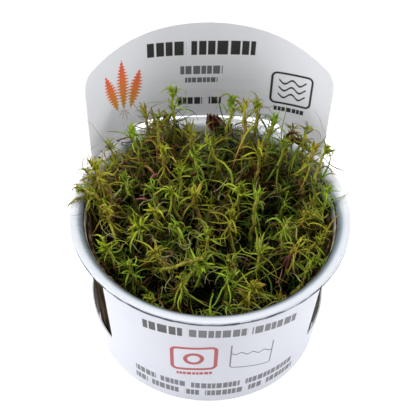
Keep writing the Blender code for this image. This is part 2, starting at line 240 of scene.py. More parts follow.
# Streaks of roots show through the wall at the sides; at the back a grey painted shade covers it, for the
# shaded card behind
wall = Paint("clear_plastic", roughness=0.3, specular_ior_level=0.0)
wall_place = wall.place()
wall_height = wall.along(wall_place, "Z") * 1000
wall_inner = ((wall_height * 0.095 + 31.8 - wall.reach(wall_place)) * 9).clamped()
wall_right = (wall.along(wall_place, "X") * 30).clamped() * wall_inner * 14
wall_back = ((wall.along(wall_place, "Y") * 1000 + wall_right + wall_inner * 5 - 9) / 12).clamped()
wall_streaks = wall.noise(380, 4, stretch=(1, 1, 0.14))
wall_brown = wall.ramp(wall_streaks, [(0.35, (0.018, 0.012, 0.008)), (0.5, (0.05, 0.034, 0.024)),
                                      (0.7, (0.1, 0.07, 0.05))])
wall_green = wall.ramp(wall_streaks, [(0.35, (0.02, 0.022, 0.006)), (0.55, (0.07, 0.085, 0.018)),
                                      (0.7, (0.15, 0.16, 0.06))])
wall_roots = wall.mix(((wall.noise(120, 2) - 0.52) * 8).clamped(), wall_brown, wall_green)
wall_inside = wall.ramp(wall_streaks, [(0.35, (0.17, 0.15, 0.11)), (0.65, (0.45, 0.42, 0.34))])
wall_painted_shade = wall.ramp(wall.noise(140, 3), [(0.3, (0.36, 0.35, 0.3)), (0.65, (0.54, 0.53, 0.48))])
back_painted_shade = wall_back * ((wall_height + wall.noise(160, 4) * 6 - 31) / 7).clamped() * 0.77
side_roots = (wall_back * -1 + 1) * ((wall_height + wall.noise(240, 4) * 5 - 7) / 5).clamped() * 0.95
cup.data.materials.append(wall.feed(
    base_color=wall.mix(wall_back, wall.mix(wall_inner, wall_roots, wall_inside), wall_painted_shade),
    alpha=back_painted_shade + side_roots + 0.025))

# The flange is milky; painted shade darkens its inner edge, and painted light makes it white where it pokes
# through the card's slot
flange = Paint("milky_flange", base_color=(0.88, 0.9, 0.94, 1), ior=1.46, transmission_weight=0.1,
               roughness=0.25)
flange_place = flange.place()
flange_back_painted_light = (flange.along(flange_place, "Y") * 50 + 0.1).clamped() * 1.3
flange_shade_and_light = (flange.reach(flange_place) - 36.0 + flange.noise(110, 2) * 0.5 + flange_back_painted_light) * 0.3
flange_shade_and_light = flange_shade_and_light.math("MINIMUM", flange_back_painted_light * 0.3 + 0.85)
cup.data.materials.append(flange.feed(
    base_color=flange.ramp(flange_shade_and_light, [
        (0.05, (0.09, 0.11, 0.13)), (0.35, (0.17, 0.2, 0.23)), (0.55, (0.34, 0.39, 0.44)),
        (0.68, (0.6, 0.63, 0.69)), (0.82, (0.66, 0.69, 0.74)), (1.0, (0.86, 0.87, 0.91))]),
    roughness=flange.noise(160, 2) * 0.12 + 0.2,
    normal=flange.bump(flange.noise(70, 2), 0.1, 0.0003)))
# Painted shade: the lip's underside and lower edge are painted dark grey, darkest at the bottom, for the
# shadowed gap under it
lip = Paint("lip_edge_painted_shade", roughness=0.5, specular_ior_level=0.1)
lip_shade_height = (lip.along(lip.place(), "Z") * 1000 - 44.6) * 0.8 + (lip.noise(170, 2) - 0.5) * 2
cup.data.materials.append(lip.feed(
    base_color=lip.ramp(lip_shade_height, [(0.2, (0.05, 0.06, 0.075)), (0.7, (0.5, 0.53, 0.58))])))
for face in cup.data.polygons:
    reach, height = math.hypot(face.center.x, face.center.y) / MM, face.center.z / MM
    on_flange, under_lip = reach > 36.1 and height > 43.5, reach > 39.1 and height < 45.2
    face.material_index = 2 if under_lip else 1 if on_flange else 0
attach(cup, "root")
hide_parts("cup")


# The growing gel, poured into the cup and set. Its top has sunk unevenly round the stems, and
# it is dark with fine roots and debris.
GEL_FOOT_RADIUS, GEL_FOOT = 30.9, 1.5
GEL_TOP_RADIUS, GEL_TOP = 31.9, 10.0
GEL_INSETS, GEL_DIPS = 9, 0.9

gel = add_disc("growing_gel_set", GEL_FOOT_RADIUS, GEL_FOOT, 96)
extrude_rings(GEL_FOOT_RADIUS, GEL_FOOT, [(GEL_TOP_RADIUS, GEL_TOP)])
for step in range(GEL_INSETS):
    bpy.ops.mesh.inset(thickness=GEL_TOP_RADIUS / (GEL_INSETS + 1) * MM, depth=0)
close_piece(gel, 50)
for corner in gel.data.vertices:
    reach = math.hypot(corner.co.x, corner.co.y)
    if corner.co.z > (GEL_TOP - 0.1) * MM and reach < GEL_TOP_RADIUS * 0.99 * MM:
        corner.co.z -= GEL_DIPS * MM * (0.5 + 0.5 * noise.noise(corner.co * 180))
dark_gel = Paint("rooted_gel", roughness=0.3, coat_weight=0.3)
gel_blots = dark_gel.noise(700, 5)
gel.data.materials.append(dark_gel.feed(
    base_color=dark_gel.ramp(gel_blots, [(0.35, (0.012, 0.009, 0.004)), (0.6, (0.05, 0.035, 0.015)),
                                         (0.75, (0.12, 0.09, 0.04))]),
    normal=dark_gel.bump(gel_blots, 0.6, 0.0006)))
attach(gel, "root")
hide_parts("growing_gel")


# The living shoots. Each is one soft stem with whorls of thin, curved needle leaves, closing
# into a bud of short leaves at its tip. Each follows the centre line and leaves of its solid.
LEAF_TIP_EDGE = 1.6         # a solid's corner with every edge longer than this is a leaf's tip
STEM_STEP = 0.8             # millimetres between a stem's rings
STEM_SIDES = 9
BARE_FOOT = 5.0             # no leaf grows this close to the gel
LEAF_PARTS = 6              # lengths that a leaf bends between
LEAF_THICKNESS = 0.17
WALL_FOOT, WALL_LIP = 31.3, 35.45       # the cup's inner radius by the gel and under the rim
PANEL_FROM, PANEL_INSIDE = 22, 39.2     # above the rim, the back panel holds what lies behind this
FARTHEST = 40.6             # how far out a leaf may hang elsewhere
RIM_INNER, RIM_TOP = 35.2, 46.1         # what would cut through the rim lies on it
SUNK = 8.5                  # nothing reaches further down into the gel

grown = np.random.default_rng(4)
noise.seed_set(7)           # otherwise the noise starts from the clock


def growth_of(node):
    """Foot, whorl centres from the foot up and tip, and the leaves' roots and tips, in mm."""
    bm = bmesh.new()
    bm.from_mesh(node.data)
    bmesh.ops.remove_doubles(bm, verts=bm.verts, dist=0.000005)
    bm.verts.index_update()
    leaf_tips = [corner for corner in bm.verts if len(corner.link_edges) == 4
                 and min(edge.calc_length() for edge in corner.link_edges) > LEAF_TIP_EDGE * MM]
    whorls = []
    for tip in leaf_tips:
        roots = {edge.other_vert(tip) for edge in tip.link_edges}
        joined = [whorl for whorl in whorls if whorl[0] & roots]
        whorls = [whorl for whorl in whorls if not whorl[0] & roots]
        whorls.append((roots.union(*(whorl[0] for whorl in joined)),
                       sum((whorl[1] for whorl in joined), [tip])))
    low = min(corner.co.z for corner in bm.verts)
    feet = [corner.co for corner in bm.verts if corner.co.z < low + 0.00002]
    line = [sum(feet, Vector()) / len(feet)]
    leaves = []
    waiting = []
    for ring, tips in whorls:
        in_order = sorted(ring, key=lambda corner: corner.index)
        waiting.append((sum((corner.co for corner in in_order), Vector()) / len(ring), ring, tips))
    while waiting:
        nearest = min(waiting, key=lambda whorl: (whorl[0] - line[-1]).length)
        waiting.remove(nearest)
        for tip in nearest[2]:
            root = sum((edge.other_vert(tip).co for edge in tip.link_edges), Vector()) / 4
            leaves.append((root / MM, tip.co / MM))
        line.append(nearest[0])
    ahead = line[-1] - line[-2]
    apex = max((corner.co for corner in bm.verts if corner not in leaf_tips),
               key=lambda place: (place - line[-1]).dot(ahead))
    line.append(apex.copy())
    line = [place / MM for place in line]
    bm.free()
    return (np.array(line), *(np.array(ends) for ends in zip(*leaves)))


def along_line(values, runs, distances):
    """What the line's values are at these distances along it."""
    return np.stack([np.interp(distances, runs, values[:, axis]) for axis in range(3)], -1)


def smooth_line(knots, step):
    """Evenly spaced points on a smooth curve through the knots, and their distances along it."""
    padded = np.vstack([2 * knots[0] - knots[1], knots, 2 * knots[-1] - knots[-2]])
    fine = []
    for a, b, c, d in zip(padded, padded[1:], padded[2:], padded[3:]):
        for share in np.linspace(0, 1, 24, endpoint=False):
            fine.append(0.5 * (2 * b + (c - a) * share + (2 * a - 5 * b + 4 * c - d) * share ** 2
                               + (3 * b - a - 3 * c + d) * share ** 3))
    fine.append(knots[-1])
    fine = np.array(fine)
    runs = np.r_[0, np.cumsum(np.linalg.norm(np.diff(fine, axis=0), axis=1))]
    spots = np.linspace(0, runs[-1], max(2, round(runs[-1] / step)) + 1)
    return along_line(fine, runs, spots), spots


def wavering(runs, pace, row, layer):
    """Smooth offsets along a stem, each stem with a row of its own in the noise."""
    return np.array([noise.noise_vector(Vector((run / pace, row, layer))) for run in runs])


def tilts(mean, spread, count):
    """Random angles in radians from a mean and a spread in degrees."""
    return np.radians(grown.normal(mean, spread, count))


def unit(vectors):
    return vectors / np.maximum(np.linalg.norm(vectors, axis=-1, keepdims=True), 1e-9)


def kept_inside(points):
    """Points held off the cup's wall and the back panel, over the rim, and above the gel's foot."""
    points = points.copy()
    reach = np.hypot(points[..., 0], points[..., 1])
    height = points[..., 2]
    wall = WALL_FOOT + (WALL_LIP - WALL_FOOT) * np.clip(height / LIP_LOW, 0, 1)
    above = np.where(points[..., 1] > PANEL_FROM, PANEL_INSIDE, FARTHEST)
    limit = np.where(height < LIP_LOW, wall, above)
    scale = np.minimum(1, limit / np.maximum(reach, 1e-6))
    points[..., :2] *= scale[..., None]
    on_rim = (height >= LIP_LOW) & (height < RIM_TOP) & (reach > RIM_INNER)
    points[..., 2] = np.maximum(np.where(on_rim, RIM_TOP, points[..., 2]), SUNK)
    return points


def ring_faces(rings):
    """Quads between rings of corners, from the corners' numbers ring by ring."""
    after = np.roll(rings, -1, axis=1)
    return np.stack([rings[:-1], after[:-1], after[1:], rings[1:]], -1)


class Tangle:
    """Gathers tubes and leaves into one mesh, with numbers on each corner for the colours."""

    def __init__(self):
        self.corners, self.faces, self.growth, self.slots = [], [], [], []
        self.count = 0

    def add(self, corners, faces, growth, slot):
        """growth is (share along, age, blush, tone) for each corner; faces are quads."""
        self.corners.append(corners.reshape(-1, 3))
        self.faces.append(faces.reshape(-1, 4) + self.count)
        self.growth.append(growth.reshape(-1, 4))
        self.slots.append(np.full(len(self.faces[-1]), slot))
        self.count += len(self.corners[-1])

    def tube(self, line, radii, sides, ages, blush, tone, slot=0):
        """A closed round tube along a line of points."""
        ahead = unit(np.gradient(line, axis=0))
        side = unit(np.cross(ahead, [0.31, 0.95, 0.05]))
        front = np.cross(ahead, side)
        turns = np.linspace(0, math.tau, sides, endpoint=False)
        rings = (line[:, None] + radii[:, None, None] * (side[:, None] * np.cos(turns)[None, :, None]
                                                         + front[:, None] * np.sin(turns)[None, :, None]))
        # Each end is drawn together into a small closed point
        rings = np.concatenate([line[None, :1].repeat(sides, 1), rings, line[None, -1:].repeat(sides, 1)])
        count = len(rings)
        faces = ring_faces(np.arange(count * sides).reshape(count, sides))
        share = np.linspace(0, 1, count)[:, None].repeat(sides, 1)
        blush = np.broadcast_to(blush, len(line))
        ages, blush = (np.r_[values[0], values, values[-1]][:, None].repeat(sides, 1)
                       for values in (ages, blush))
        growth = np.stack([share, ages, blush, np.full_like(share, tone)], -1)
        self.add(rings, faces, growth, slot)

    def leaves(self, roots, ways, ups, lengths, bends, sways, widths, ages, blushes, tones,
               parts=LEAF_PARTS, slot=1, curl=0.0, droop=0.0):
        """Thin pointed leaves. Each bends away from its upper side, sways, wanders and droops."""
        count = len(roots)
        way, at = unit(ways), roots.astype(float)
        curls, veers = grown.normal(0, curl, (2, count)) if curl else np.zeros((2, count))
        phases = grown.uniform(0, math.tau, (2, count))
        points, directions, normals = [at], [way], []
        up = unit(ups - way * np.sum(ups * way, -1, keepdims=True))
        normals.append(up)
        for part in range(parts):
            share = (part + 0.5) / parts
            turn = (bends / parts * (0.35 + 1.3 * share)
                    + curls / parts * np.sin(phases[0] + 5.5 * share))[:, None]
            veer = (sways / parts * (0.4 + 1.2 * share)
                    + veers / parts * np.sin(phases[1] + 5.0 * share))[:, None]
            side = np.cross(way, up)
            way = unit(way - up * np.sin(turn) + side * np.sin(veer) + [0, 0, -droop * share])
            up = unit(up - way * np.sum(up * way, -1, keepdims=True))
            at = at + way * (lengths / parts)[:, None]
            points.append(at)
            directions.append(way)
            normals.append(up)
        line = kept_inside(np.stack(points, 1))
        directions, normals = np.stack(directions, 1), np.stack(normals, 1)
        side = np.cross(directions, normals)
        share = np.linspace(0, 1, parts + 1)
        shape = np.minimum(1, 0.55 + 1.6 * share) * (1 - share ** 2.6) ** 0.8
        wide = 0.5 * widths[:, None] * shape[None] + 0.02
        thick = 0.5 * LEAF_THICKNESS * np.maximum(0.25, 1 - share ** 2)[None, :, None]
        lift = 0.16 * wide[..., None] * normals
        ring = np.stack([line - side * wide[..., None] + lift, line + normals * thick - lift,
                         line + side * wide[..., None] + lift, line - normals * thick - lift], 2)
        tip = line[:, -1:, None] + directions[:, -1:, None] * 0.12
        ring = np.concatenate([line[:, :1, None].repeat(4, 2), ring, tip.repeat(4, 2)], 1)
        rows = parts + 3
        index = np.arange(count * rows * 4).reshape(count, rows, 4)
        after = np.roll(index, -1, axis=2)
        faces = np.stack([index[:, :-1], index[:, 1:], after[:, 1:], after[:, :-1]], -1)
        share = np.r_[0, share, 1][None, :, None].repeat(count, 0).repeat(4, 2)
        growth = np.stack([share] + [np.broadcast_to(value[:, None, None], share.shape)
                                     for value in (ages, blushes, tones)], -1)
        self.add(ring, faces, growth, slot)

    def lifted_leaves(self, roots, outs, ups, lifts, *shape, **more):
        """Leaves that point outwards, each tipped by its lift towards its up."""
        self.leaves(roots, turned_towards(outs, ups, lifts), turned_towards(ups, -outs, lifts),
                    *shape, **more)

    def piece(self, name, materials):
        mesh = bpy.data.meshes.new(name)
        corners = np.concatenate(self.corners) * MM
        mesh.from_pydata(corners.tolist(), [], np.concatenate(self.faces).tolist())
        growth = mesh.attributes.new("growth", "FLOAT_COLOR", "POINT")
        growth.data.foreach_set("color", np.concatenate(self.growth).astype(np.float32).ravel())
        mesh.polygons.foreach_set("material_index", np.concatenate(self.slots).astype(np.int32))
        for material in materials:
            mesh.materials.append(material)
        bm = bmesh.new()
        bm.from_mesh(mesh)
        bmesh.ops.remove_doubles(bm, verts=bm.verts, dist=0.000001)
        bm.to_mesh(mesh)
        bm.free()
        mesh.shade_smooth()
        made = bpy.data.objects.new(name, mesh)
        bpy.context.scene.collection.objects.link(made)
        return made


def stem_paint(name, young, old, knot):
    """A soft stem, fresh at the tip and browner towards the foot."""
    paint = Paint(name, roughness=0.42, specular_ior_level=0.2)
    growth = paint.node("ShaderNodeAttribute", {"attribute_name": "growth"}, {}, "Vector")
    age = paint.along(growth, "Y")
    streaks = paint.noise(900, 3, stretch=(1, 1, 0.25))
    colour = paint.mix((age * 1.25 + streaks * 0.5 - 0.3).clamped(), young, old)
    colour = paint.mix((paint.along(growth, "Z") * (0.35 + streaks)).clamped(), colour, knot)
    return paint.feed(base_color=colour, roughness=streaks * 0.25 + 0.3,
                      normal=paint.bump(streaks, 0.4, 0.00012))


def leaf_paint(name, foot, young, mature, old, tip):
    """A thin waxy leaf, yellow at its foot, mottled, and browned or reddened towards its tip. It turns
    nearly black deep under the tip: partly age, partly painted shade.
    """
    paint = Paint(name, roughness=0.45, specular_ior_level=0.15)
    growth = paint.node("ShaderNodeAttribute", {"attribute_name": "growth"}, {}, "Color")
    share, age, blush = (paint.node("ShaderNodeSeparateColor", {}, {"Color": growth}, channel)
                         for channel in ("Red", "Green", "Blue"))
    tone = paint.node("ShaderNodeAttribute", {"attribute_name": "growth"}, {}, "Alpha")
    blots = paint.noise(650, 4)
    colour = paint.mix((age * 1.5 + blots * 0.6 - 0.3).clamped(), young, mature)
    colour = paint.mix(((0.34 - share) * 2.4).clamped(), colour, foot)
    # Painted shade in part: the nearly black old colour darkens leaves deep under the tips, beyond what
    # their age gives
    colour = paint.mix((age * 1.5 - 0.6 + tone * 0.3).clamped(), colour, old)
    colour = paint.mix((blush * (share * 1.9 - 0.75) * (0.6 + blots)).clamped(), colour, tip)
    bright = paint.node("ShaderNodeHueSaturation", {}, {
        "Color": colour, "Value": tone * 1.2 + 0.42, "Hue": 0.5, "Saturation": 0.97})
    return paint.feed(base_color=bright, roughness=blots * 0.3 + 0.3,
                      normal=paint.bump(blots, 0.3, 0.0001))


stems = [
    stem_paint("stem_olive", (0.38, 0.41, 0.055), (0.35, 0.32, 0.045), (0.33, 0.22, 0.045)),
    stem_paint("stem_fresh", (0.36, 0.44, 0.055), (0.33, 0.35, 0.04), (0.33, 0.26, 0.05)),
    stem_paint("stem_bronze", (0.43, 0.4, 0.06), (0.38, 0.3, 0.045), (0.35, 0.19, 0.04)),
]
# The fourth colour of each kind is nearly black: partly old growth, partly painted shade deep in the tuft
leaves_by_kind = [
    leaf_paint("leaf_olive", (0.36, 0.35, 0.018), (0.25, 0.32, 0.01), (0.07, 0.13, 0.005),
               (0.006, 0.018, 0.001), (0.24, 0.07, 0.04)),
    leaf_paint("leaf_fresh", (0.36, 0.4, 0.022), (0.21, 0.33, 0.011), (0.06, 0.14, 0.006),
               (0.004, 0.022, 0.001), (0.24, 0.09, 0.05)),
    leaf_paint("leaf_bronze", (0.38, 0.33, 0.02), (0.3, 0.31, 0.012), (0.12, 0.12, 0.007),
               (0.014, 0.013, 0.002), (0.25, 0.05, 0.04)),
]


def sideways(ahead, turns):
    """Unit vectors square to the stem, each at its turn about it."""
    side = unit(np.cross(ahead, [0.12, 0.98, 0.1]))
    front = np.cross(ahead, side)
    return side * np.cos(turns)[:, None] + front * np.sin(turns)[:, None]


def turned_towards(ways, ups, lifts):
    """Each way tipped by its lift towards its up."""
    return ways * np.cos(lifts)[:, None] + ups * np.sin(lifts)[:, None]


# How the shoots that stand out differ: bud, stem's girth, leaf length, blush, curl, brightness
PLAIN_HABIT = ("brush", 1.0, 1.0, 0.35, 1.0, 1.0)
HABITS = {
    1: ("spent", 0.9, 0.8, 0.9, 2.4, 0.8), 2: ("tulip", 0.9, 0.9, 0.3, 1.2, 1.3),
    3: ("star", 0.9, 1.0, 0.6, 0.8, 0.9), 4: ("spent", 1.1, 0.75, 0.8, 2.0, 0.7),
    5: ("tulip", 1.0, 1.0, 0.4, 0.9, 1.15), 6: ("brush", 0.9, 1.1, 0.3, 0.8, 0.9),
    7: ("star", 1.3, 1.1, 0.3, 0.8, 1.0), 8: ("tulip", 1.0, 0.9, 0.3, 0.8, 1.0),
    9: ("star", 1.1, 1.1, 0.7, 0.7, 1.15), 10: ("spear", 1.1, 1.2, 0.8, 0.6, 1.0),
    11: ("tulip", 1.4, 0.9, 0.15, 0.7, 0.95), 12: ("spent", 1.2, 0.9, 0.9, 2.2, 0.6),
    13: ("brush", 0.9, 0.9, 0.9, 1.6, 0.8), 14: ("spear", 1.2, 1.1, 0.6, 0.5, 1.0),
    15: ("tulip", 1.4, 0.8, 0.2, 0.8, 0.9), 16: ("tulip", 1.0, 0.9, 0.9, 2.4, 1.0),
    17: ("star", 1.0, 1.0, 0.15, 0.5, 1.1), 18: ("star", 1.1, 1.0, 0.3, 0.8, 1.1),
    20: ("tulip", 1.3, 0.9, 0.6, 0.8, 1.0), 21: ("crown", 1.4, 1.0, 0.1, 1.2, 1.4),
    22: ("spent", 1.1, 0.9, 0.5, 3.0, 1.3), 23: ("crown", 1.2, 1.0, 0.4, 1.0, 1.2),
    24: ("brush", 1.0, 1.0, 0.35, 1.0, 1.35), 25: ("fan", 1.0, 0.9, 0.15, 0.7, 1.4),
    26: ("star", 0.9, 0.8, 0.2, 0.8, 1.2), 28: ("fan", 1.0, 1.0, 0.3, 0.8, 1.1),
    30: ("spear", 1.0, 1.1, 0.4, 0.6, 1.1), 31: ("star", 1.0, 1.1, 0.3, 0.8, 1.1),
    32: ("star", 1.3, 1.2, 0.4, 0.7, 1.2), 33: ("fan", 1.1, 1.0, 0.2, 0.8, 1.05),
    36: ("brush", 1.0, 1.0, 0.35, 1.0, 1.3), 37: ("crown", 1.0, 0.9, 0.2, 1.0, 1.3),
    41: ("cut", 1.5, 1.0, 0.4, 1.0, 1.0), 42: ("spent", 1.6, 1.0, 0.4, 1.0, 1.1),
    43: ("star", 1.1, 1.2, 0.3, 0.8, 1.1), 44: ("crown", 1.3, 0.7, 0.3, 1.2, 1.1),
    47: ("star", 1.1, 1.1, 0.3, 0.9, 1.0), 48: ("tulip", 1.2, 1.0, 0.4, 0.8, 1.1),
}
# Blades of each kind of bud: how many, lift of the inmost and outmost, length, width, curl
BUDS = {
    "brush": (8, 87, 55, 3.2, 0.7, 28), "tulip": (6, 84, 62, 3.8, 1.9, 12),
    "fan": (10, 84, 38, 4.0, 1.05, 16), "star": (8, 82, 34, 4.4, 0.62, 45),
    "spear": (7, 89, 78, 5.6, 0.8, 8), "spent": (5, 75, 10, 3.2, 0.6, 110),
    "crown": (18, 80, 0, 5.6, 1.0, 40), "cut": (0, 0, 0, 0, 0, 0),
}
BACK_ROW = 17               # the shoots under this number stand at the back, with fewer leaves
WAVER = 2.2                 # how far a stem strays between its ends, in millimetres
# Below this the leaves take their darkest colour, partly for age and partly as painted shade
AGED = 17                   # how far under the tip a leaf is fully grown and dark


def grow_shoot(number):
    """The stem, leaves and bud of one shoot, on the line and the leaves of its solid."""
    name = f"shoot_{number:02d}"
    bud, girth, reach, blush, wander, tone = HABITS.get(number, PLAIN_HABIT)
    knots, roots, tips = growth_of(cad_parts[name])
    line, runs = smooth_line(knots, STEM_STEP)
    length = runs[-1]
    # It wavers and kinks a little at its nodes, on the solid's own line at both ends
    waver = wavering(runs, 7.0, number * 3.1, 0.0)
    waver += 0.35 * wavering(runs, 2.4, number * 3.1, 9.0)
    belly = np.maximum(np.sin(math.pi * runs / length), 0)[:, None] ** 0.7
    line = kept_inside(line + WAVER * waver * belly * [1, 1, 0.3])
    ahead = unit(np.gradient(line, axis=0))
    tangle = Tangle()

    def at(distances):
        return along_line(line, runs, distances)

    def along(distances):
        return unit(along_line(ahead, runs, distances))

    def age_at(distances):
        return np.clip((length - distances) / AGED, 0, 1)

    def blush_and_tone(count):
        return ((grown.random(count) < 0.25 + 0.6 * blush) * grown.uniform(0.2, 1, count),
                np.clip(grown.uniform(0.2, 0.9, count) * tone, 0, 1))

    def put(distances, turns, lifts, lengths, bends, sways, widths, ages, out=0.3, **more):
        """Leaves at their distances along the stem, each with its lift out of its whorl's plane."""
        stem_ways = along(distances)
        outs = sideways(stem_ways, turns)
        tangle.lifted_leaves(at(distances) + outs * out, outs, stem_ways, lifts, lengths, bends,
                             sways, widths, ages, *blush_and_tone(len(distances)), **more)

    # The stem swells a little at each whorl, and its foot is sunk in the gel
    drop = length - runs
    whorls = length - np.cumsum(np.r_[1.4, np.minimum(1.5 + 0.3 * np.arange(40), 3.1)])
    whorls = whorls[whorls > BARE_FOOT]
    knot = np.exp(-(np.abs(runs[:, None] - whorls).min(axis=1) / 0.55) ** 2)
    blades, inmost, outmost, long, wide, spread = BUDS[bud]
    sunk = 0.5 * long
    tip = 0.06 if blades else 0.3
    radii = np.interp(drop, [0, sunk, sunk + 2, 13, 60], [tip, 0.22, 0.36, 0.44, 0.5])
    radii *= (1 + 0.35 * knot) * girth
    ends = np.vstack([line[0] - ahead[0] * 1.6, line])
    tangle.tube(ends, np.r_[radii[0], radii], STEM_SIDES, np.r_[1, age_at(runs) + 0.2 * knot],
                np.r_[0, grown.uniform(0, 0.25) + 0.6 * knot], grown.uniform(0.4, 1))

    # The leaves of the solid, each bowed and strayed a little from the solid's spike
    chords = tips - roots
    spans = np.linalg.norm(chords, axis=1)
    count = len(roots)
    chords = unit(unit(chords) + grown.normal(0, 0.45, (count, 3)))
    distances = np.array([runs[np.argmin(np.linalg.norm(line - root, axis=1))] for root in roots])
    stem_ways = along(distances)
    across = unit(roots - at(distances))
    ups = unit(stem_ways - chords * np.sum(stem_ways * chords, -1, keepdims=True))
    bends = np.clip(tilts(50, 60, count), -2.0, 2.8)
    lengths = spans * grown.uniform(0.5, 1.2, count) / np.sinc(bends / math.tau)
    tangle.leaves(roots - across * 0.3, turned_towards(chords, ups, bends / 2), ups, lengths, bends,
                  tilts(0, 45, count), grown.uniform(0.35, 0.62, count),
                  age_at(distances) * grown.uniform(0.7, 1.2, count),
                  *blush_and_tone(count), curl=1.6 * wander, droop=0.12)

    # The leaves between them: thin ribbons, arching out under the bud and hanging further down
    spots = []
    for step, distance in enumerate(whorls):
        fewest, most = (1, 3) if step > 7 else (3, 4) if number < BACK_ROW else (3, 5)
        many = grown.integers(fewest, most + 1)
        start = grown.uniform(0, math.tau)
        for leaf in range(many):
            spots.append((distance + grown.uniform(-0.7, 0.7), start + math.tau * leaf / many
                          + grown.uniform(-0.7, 0.7), step))
    distances, turns, steps = np.array(spots).T
    count = len(spots)
    hanging = grown.random(count) < np.interp(steps, [1, 3], [0, 0.6])
    lifts = np.radians(np.where(hanging, -30, np.interp(steps, [0, 1, 2, 4], [66, 56, 40, 28]))
                       + grown.normal(0, 34, count))
    lengths = (np.interp(steps, [0, 1, 2, 4], [4.8, 6.6, 8.4, 9.6])
               * grown.lognormal(-0.2, 0.32, count) * np.where(hanging, 1.2, 1) * reach)
    bends = np.where(grown.random(count) < 0.22, tilts(-60, 50, count), tilts(75, 50, count))
    bends = np.where(hanging, tilts(20, 30, count), bends)
    bends = np.where(grown.random(count) < 0.07 * wander, bends * 2.8, bends)
    put(distances, turns, lifts, lengths, bends, tilts(0, 50, count),
        grown.lognormal(-0.8, 0.3, count), age_at(distances) * grown.uniform(0.4, 1.4, count),
        curl=1.7 * wander, droop=0.35)

    # The bud: short blades standing close about the tip
    if blades:
        distances = length - sunk - np.linspace(0, 0.2 * blades, blades)
        lifts = np.radians(np.linspace(inmost, outmost, blades) + grown.normal(0, spread * 0.45, blades))
        put(distances, np.arange(blades) * 2.4 + grown.uniform(0, math.tau), lifts,
            np.linspace(0.7, 1.05, blades) * grown.uniform(0.65, 1.2, blades) * long,
            tilts(-5, spread, blades), tilts(0, spread * 0.6, blades),
            grown.uniform(0.8, 1.2, blades) * wide, np.full(blades, 0.75 if bud == "spent" else 0.0),
            out=0.15)

    kind = (number - 1) % 3
    shoot = tangle.piece(f"{name}_grown", [stems[kind], leaves_by_kind[kind]])
    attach(shoot, "root")
    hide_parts(name)


for number in range(1, 55):
    grow_shoot(number)


# Young side sprigs, lower than the shoots and thinner. They fill the cup between them, and their
# leaves hang long; where little light comes, their dark green is painted shade, laid on as added age.
SPRIGS, SPRIG_FOOT = 62, 18.0
CROWN = [(-30, -15, 5, 28), (34, 39, 45, 51)]      # the plants' height from the front to the back
# The dark gaps between the shoots, where no sprig stands: x, y and radius
HOLLOWS = [(5, 13, 6.0), (6.5, 6, 5.5), (7.5, 1.5, 4.5), (18.5, -7, 4.5), (-2.5, -10.5, 4.0)]
# How far under a sprig's tip each of its leaves grows
SPRIG_DROPS = np.repeat([0.3, 1.8, 3.8, 6.2, 9.0, 12.2], [6, 5, 5, 5, 4, 4])

sprigs = Tangle()
places = []
while len(places) < SPRIGS:
    # A third of them stand along the back wall, and the others in clumps
    back = len(places) % 3 == 0
    turn = math.radians(grown.uniform(25, 165)) if back else grown.uniform(0, math.tau)
    reach = grown.uniform(20, 32) if back else 30.5 * math.sqrt(grown.uniform(0.02, 1))
    place = np.array([reach * math.cos(turn), reach * math.sin(turn), SPRIG_FOOT])
    hollow = any(math.hypot(place[0] - x, place[1] - y) < wide for x, y, wide in HOLLOWS)
    if not hollow and (back or noise.noise(Vector((place[0] / 8, place[1] / 8, 20.0))) > -0.05):
        places.append(place)
PLACED_TUFTS = [
    # Where the heads of these are: along the back wall, in front, over the rim at both sides, in
    # the middle of the back, and before the flange's back
    (-31, 6, 44), (-30.5, 10, 46), (-29, 14, 47), (-27, 18, 48), (-24, 22, 49), (-20, 25, 50),
    (-16, 28, 50), (-25, 14, 45), (-20, 19, 46), (-12, 26, 49), (25, 18, 47), (20, 23, 49),
    (28, 14, 46), (15, 24, 48), (5, -25, 33), (-3, -27, 33), (10, -22, 35), (30, 4, 43),
    (-30, -8, 38), (33, -6, 45), (-35, 15.5, 48), (-34, 12.5, 47), (-35.5, 6, 47), (33.5, 12, 47.5),
    (2, 26, 47), (7, 23, 47), (10, 27, 50), (4, 20, 45), (12, 19, 46), (-5, 24, 46),
    (-14, 27, 54), (-10, 28, 53), (-6, 27, 51), (-15.5, 28, 56.5), (-12, 29, 56),
]
for x, y, high in PLACED_TUFTS:
    inwards = min(1, 31 / math.hypot(x, y))
    places.append(np.array([x * inwards, y * inwards, SPRIG_FOOT]))
many = len(SPRIG_DROPS)
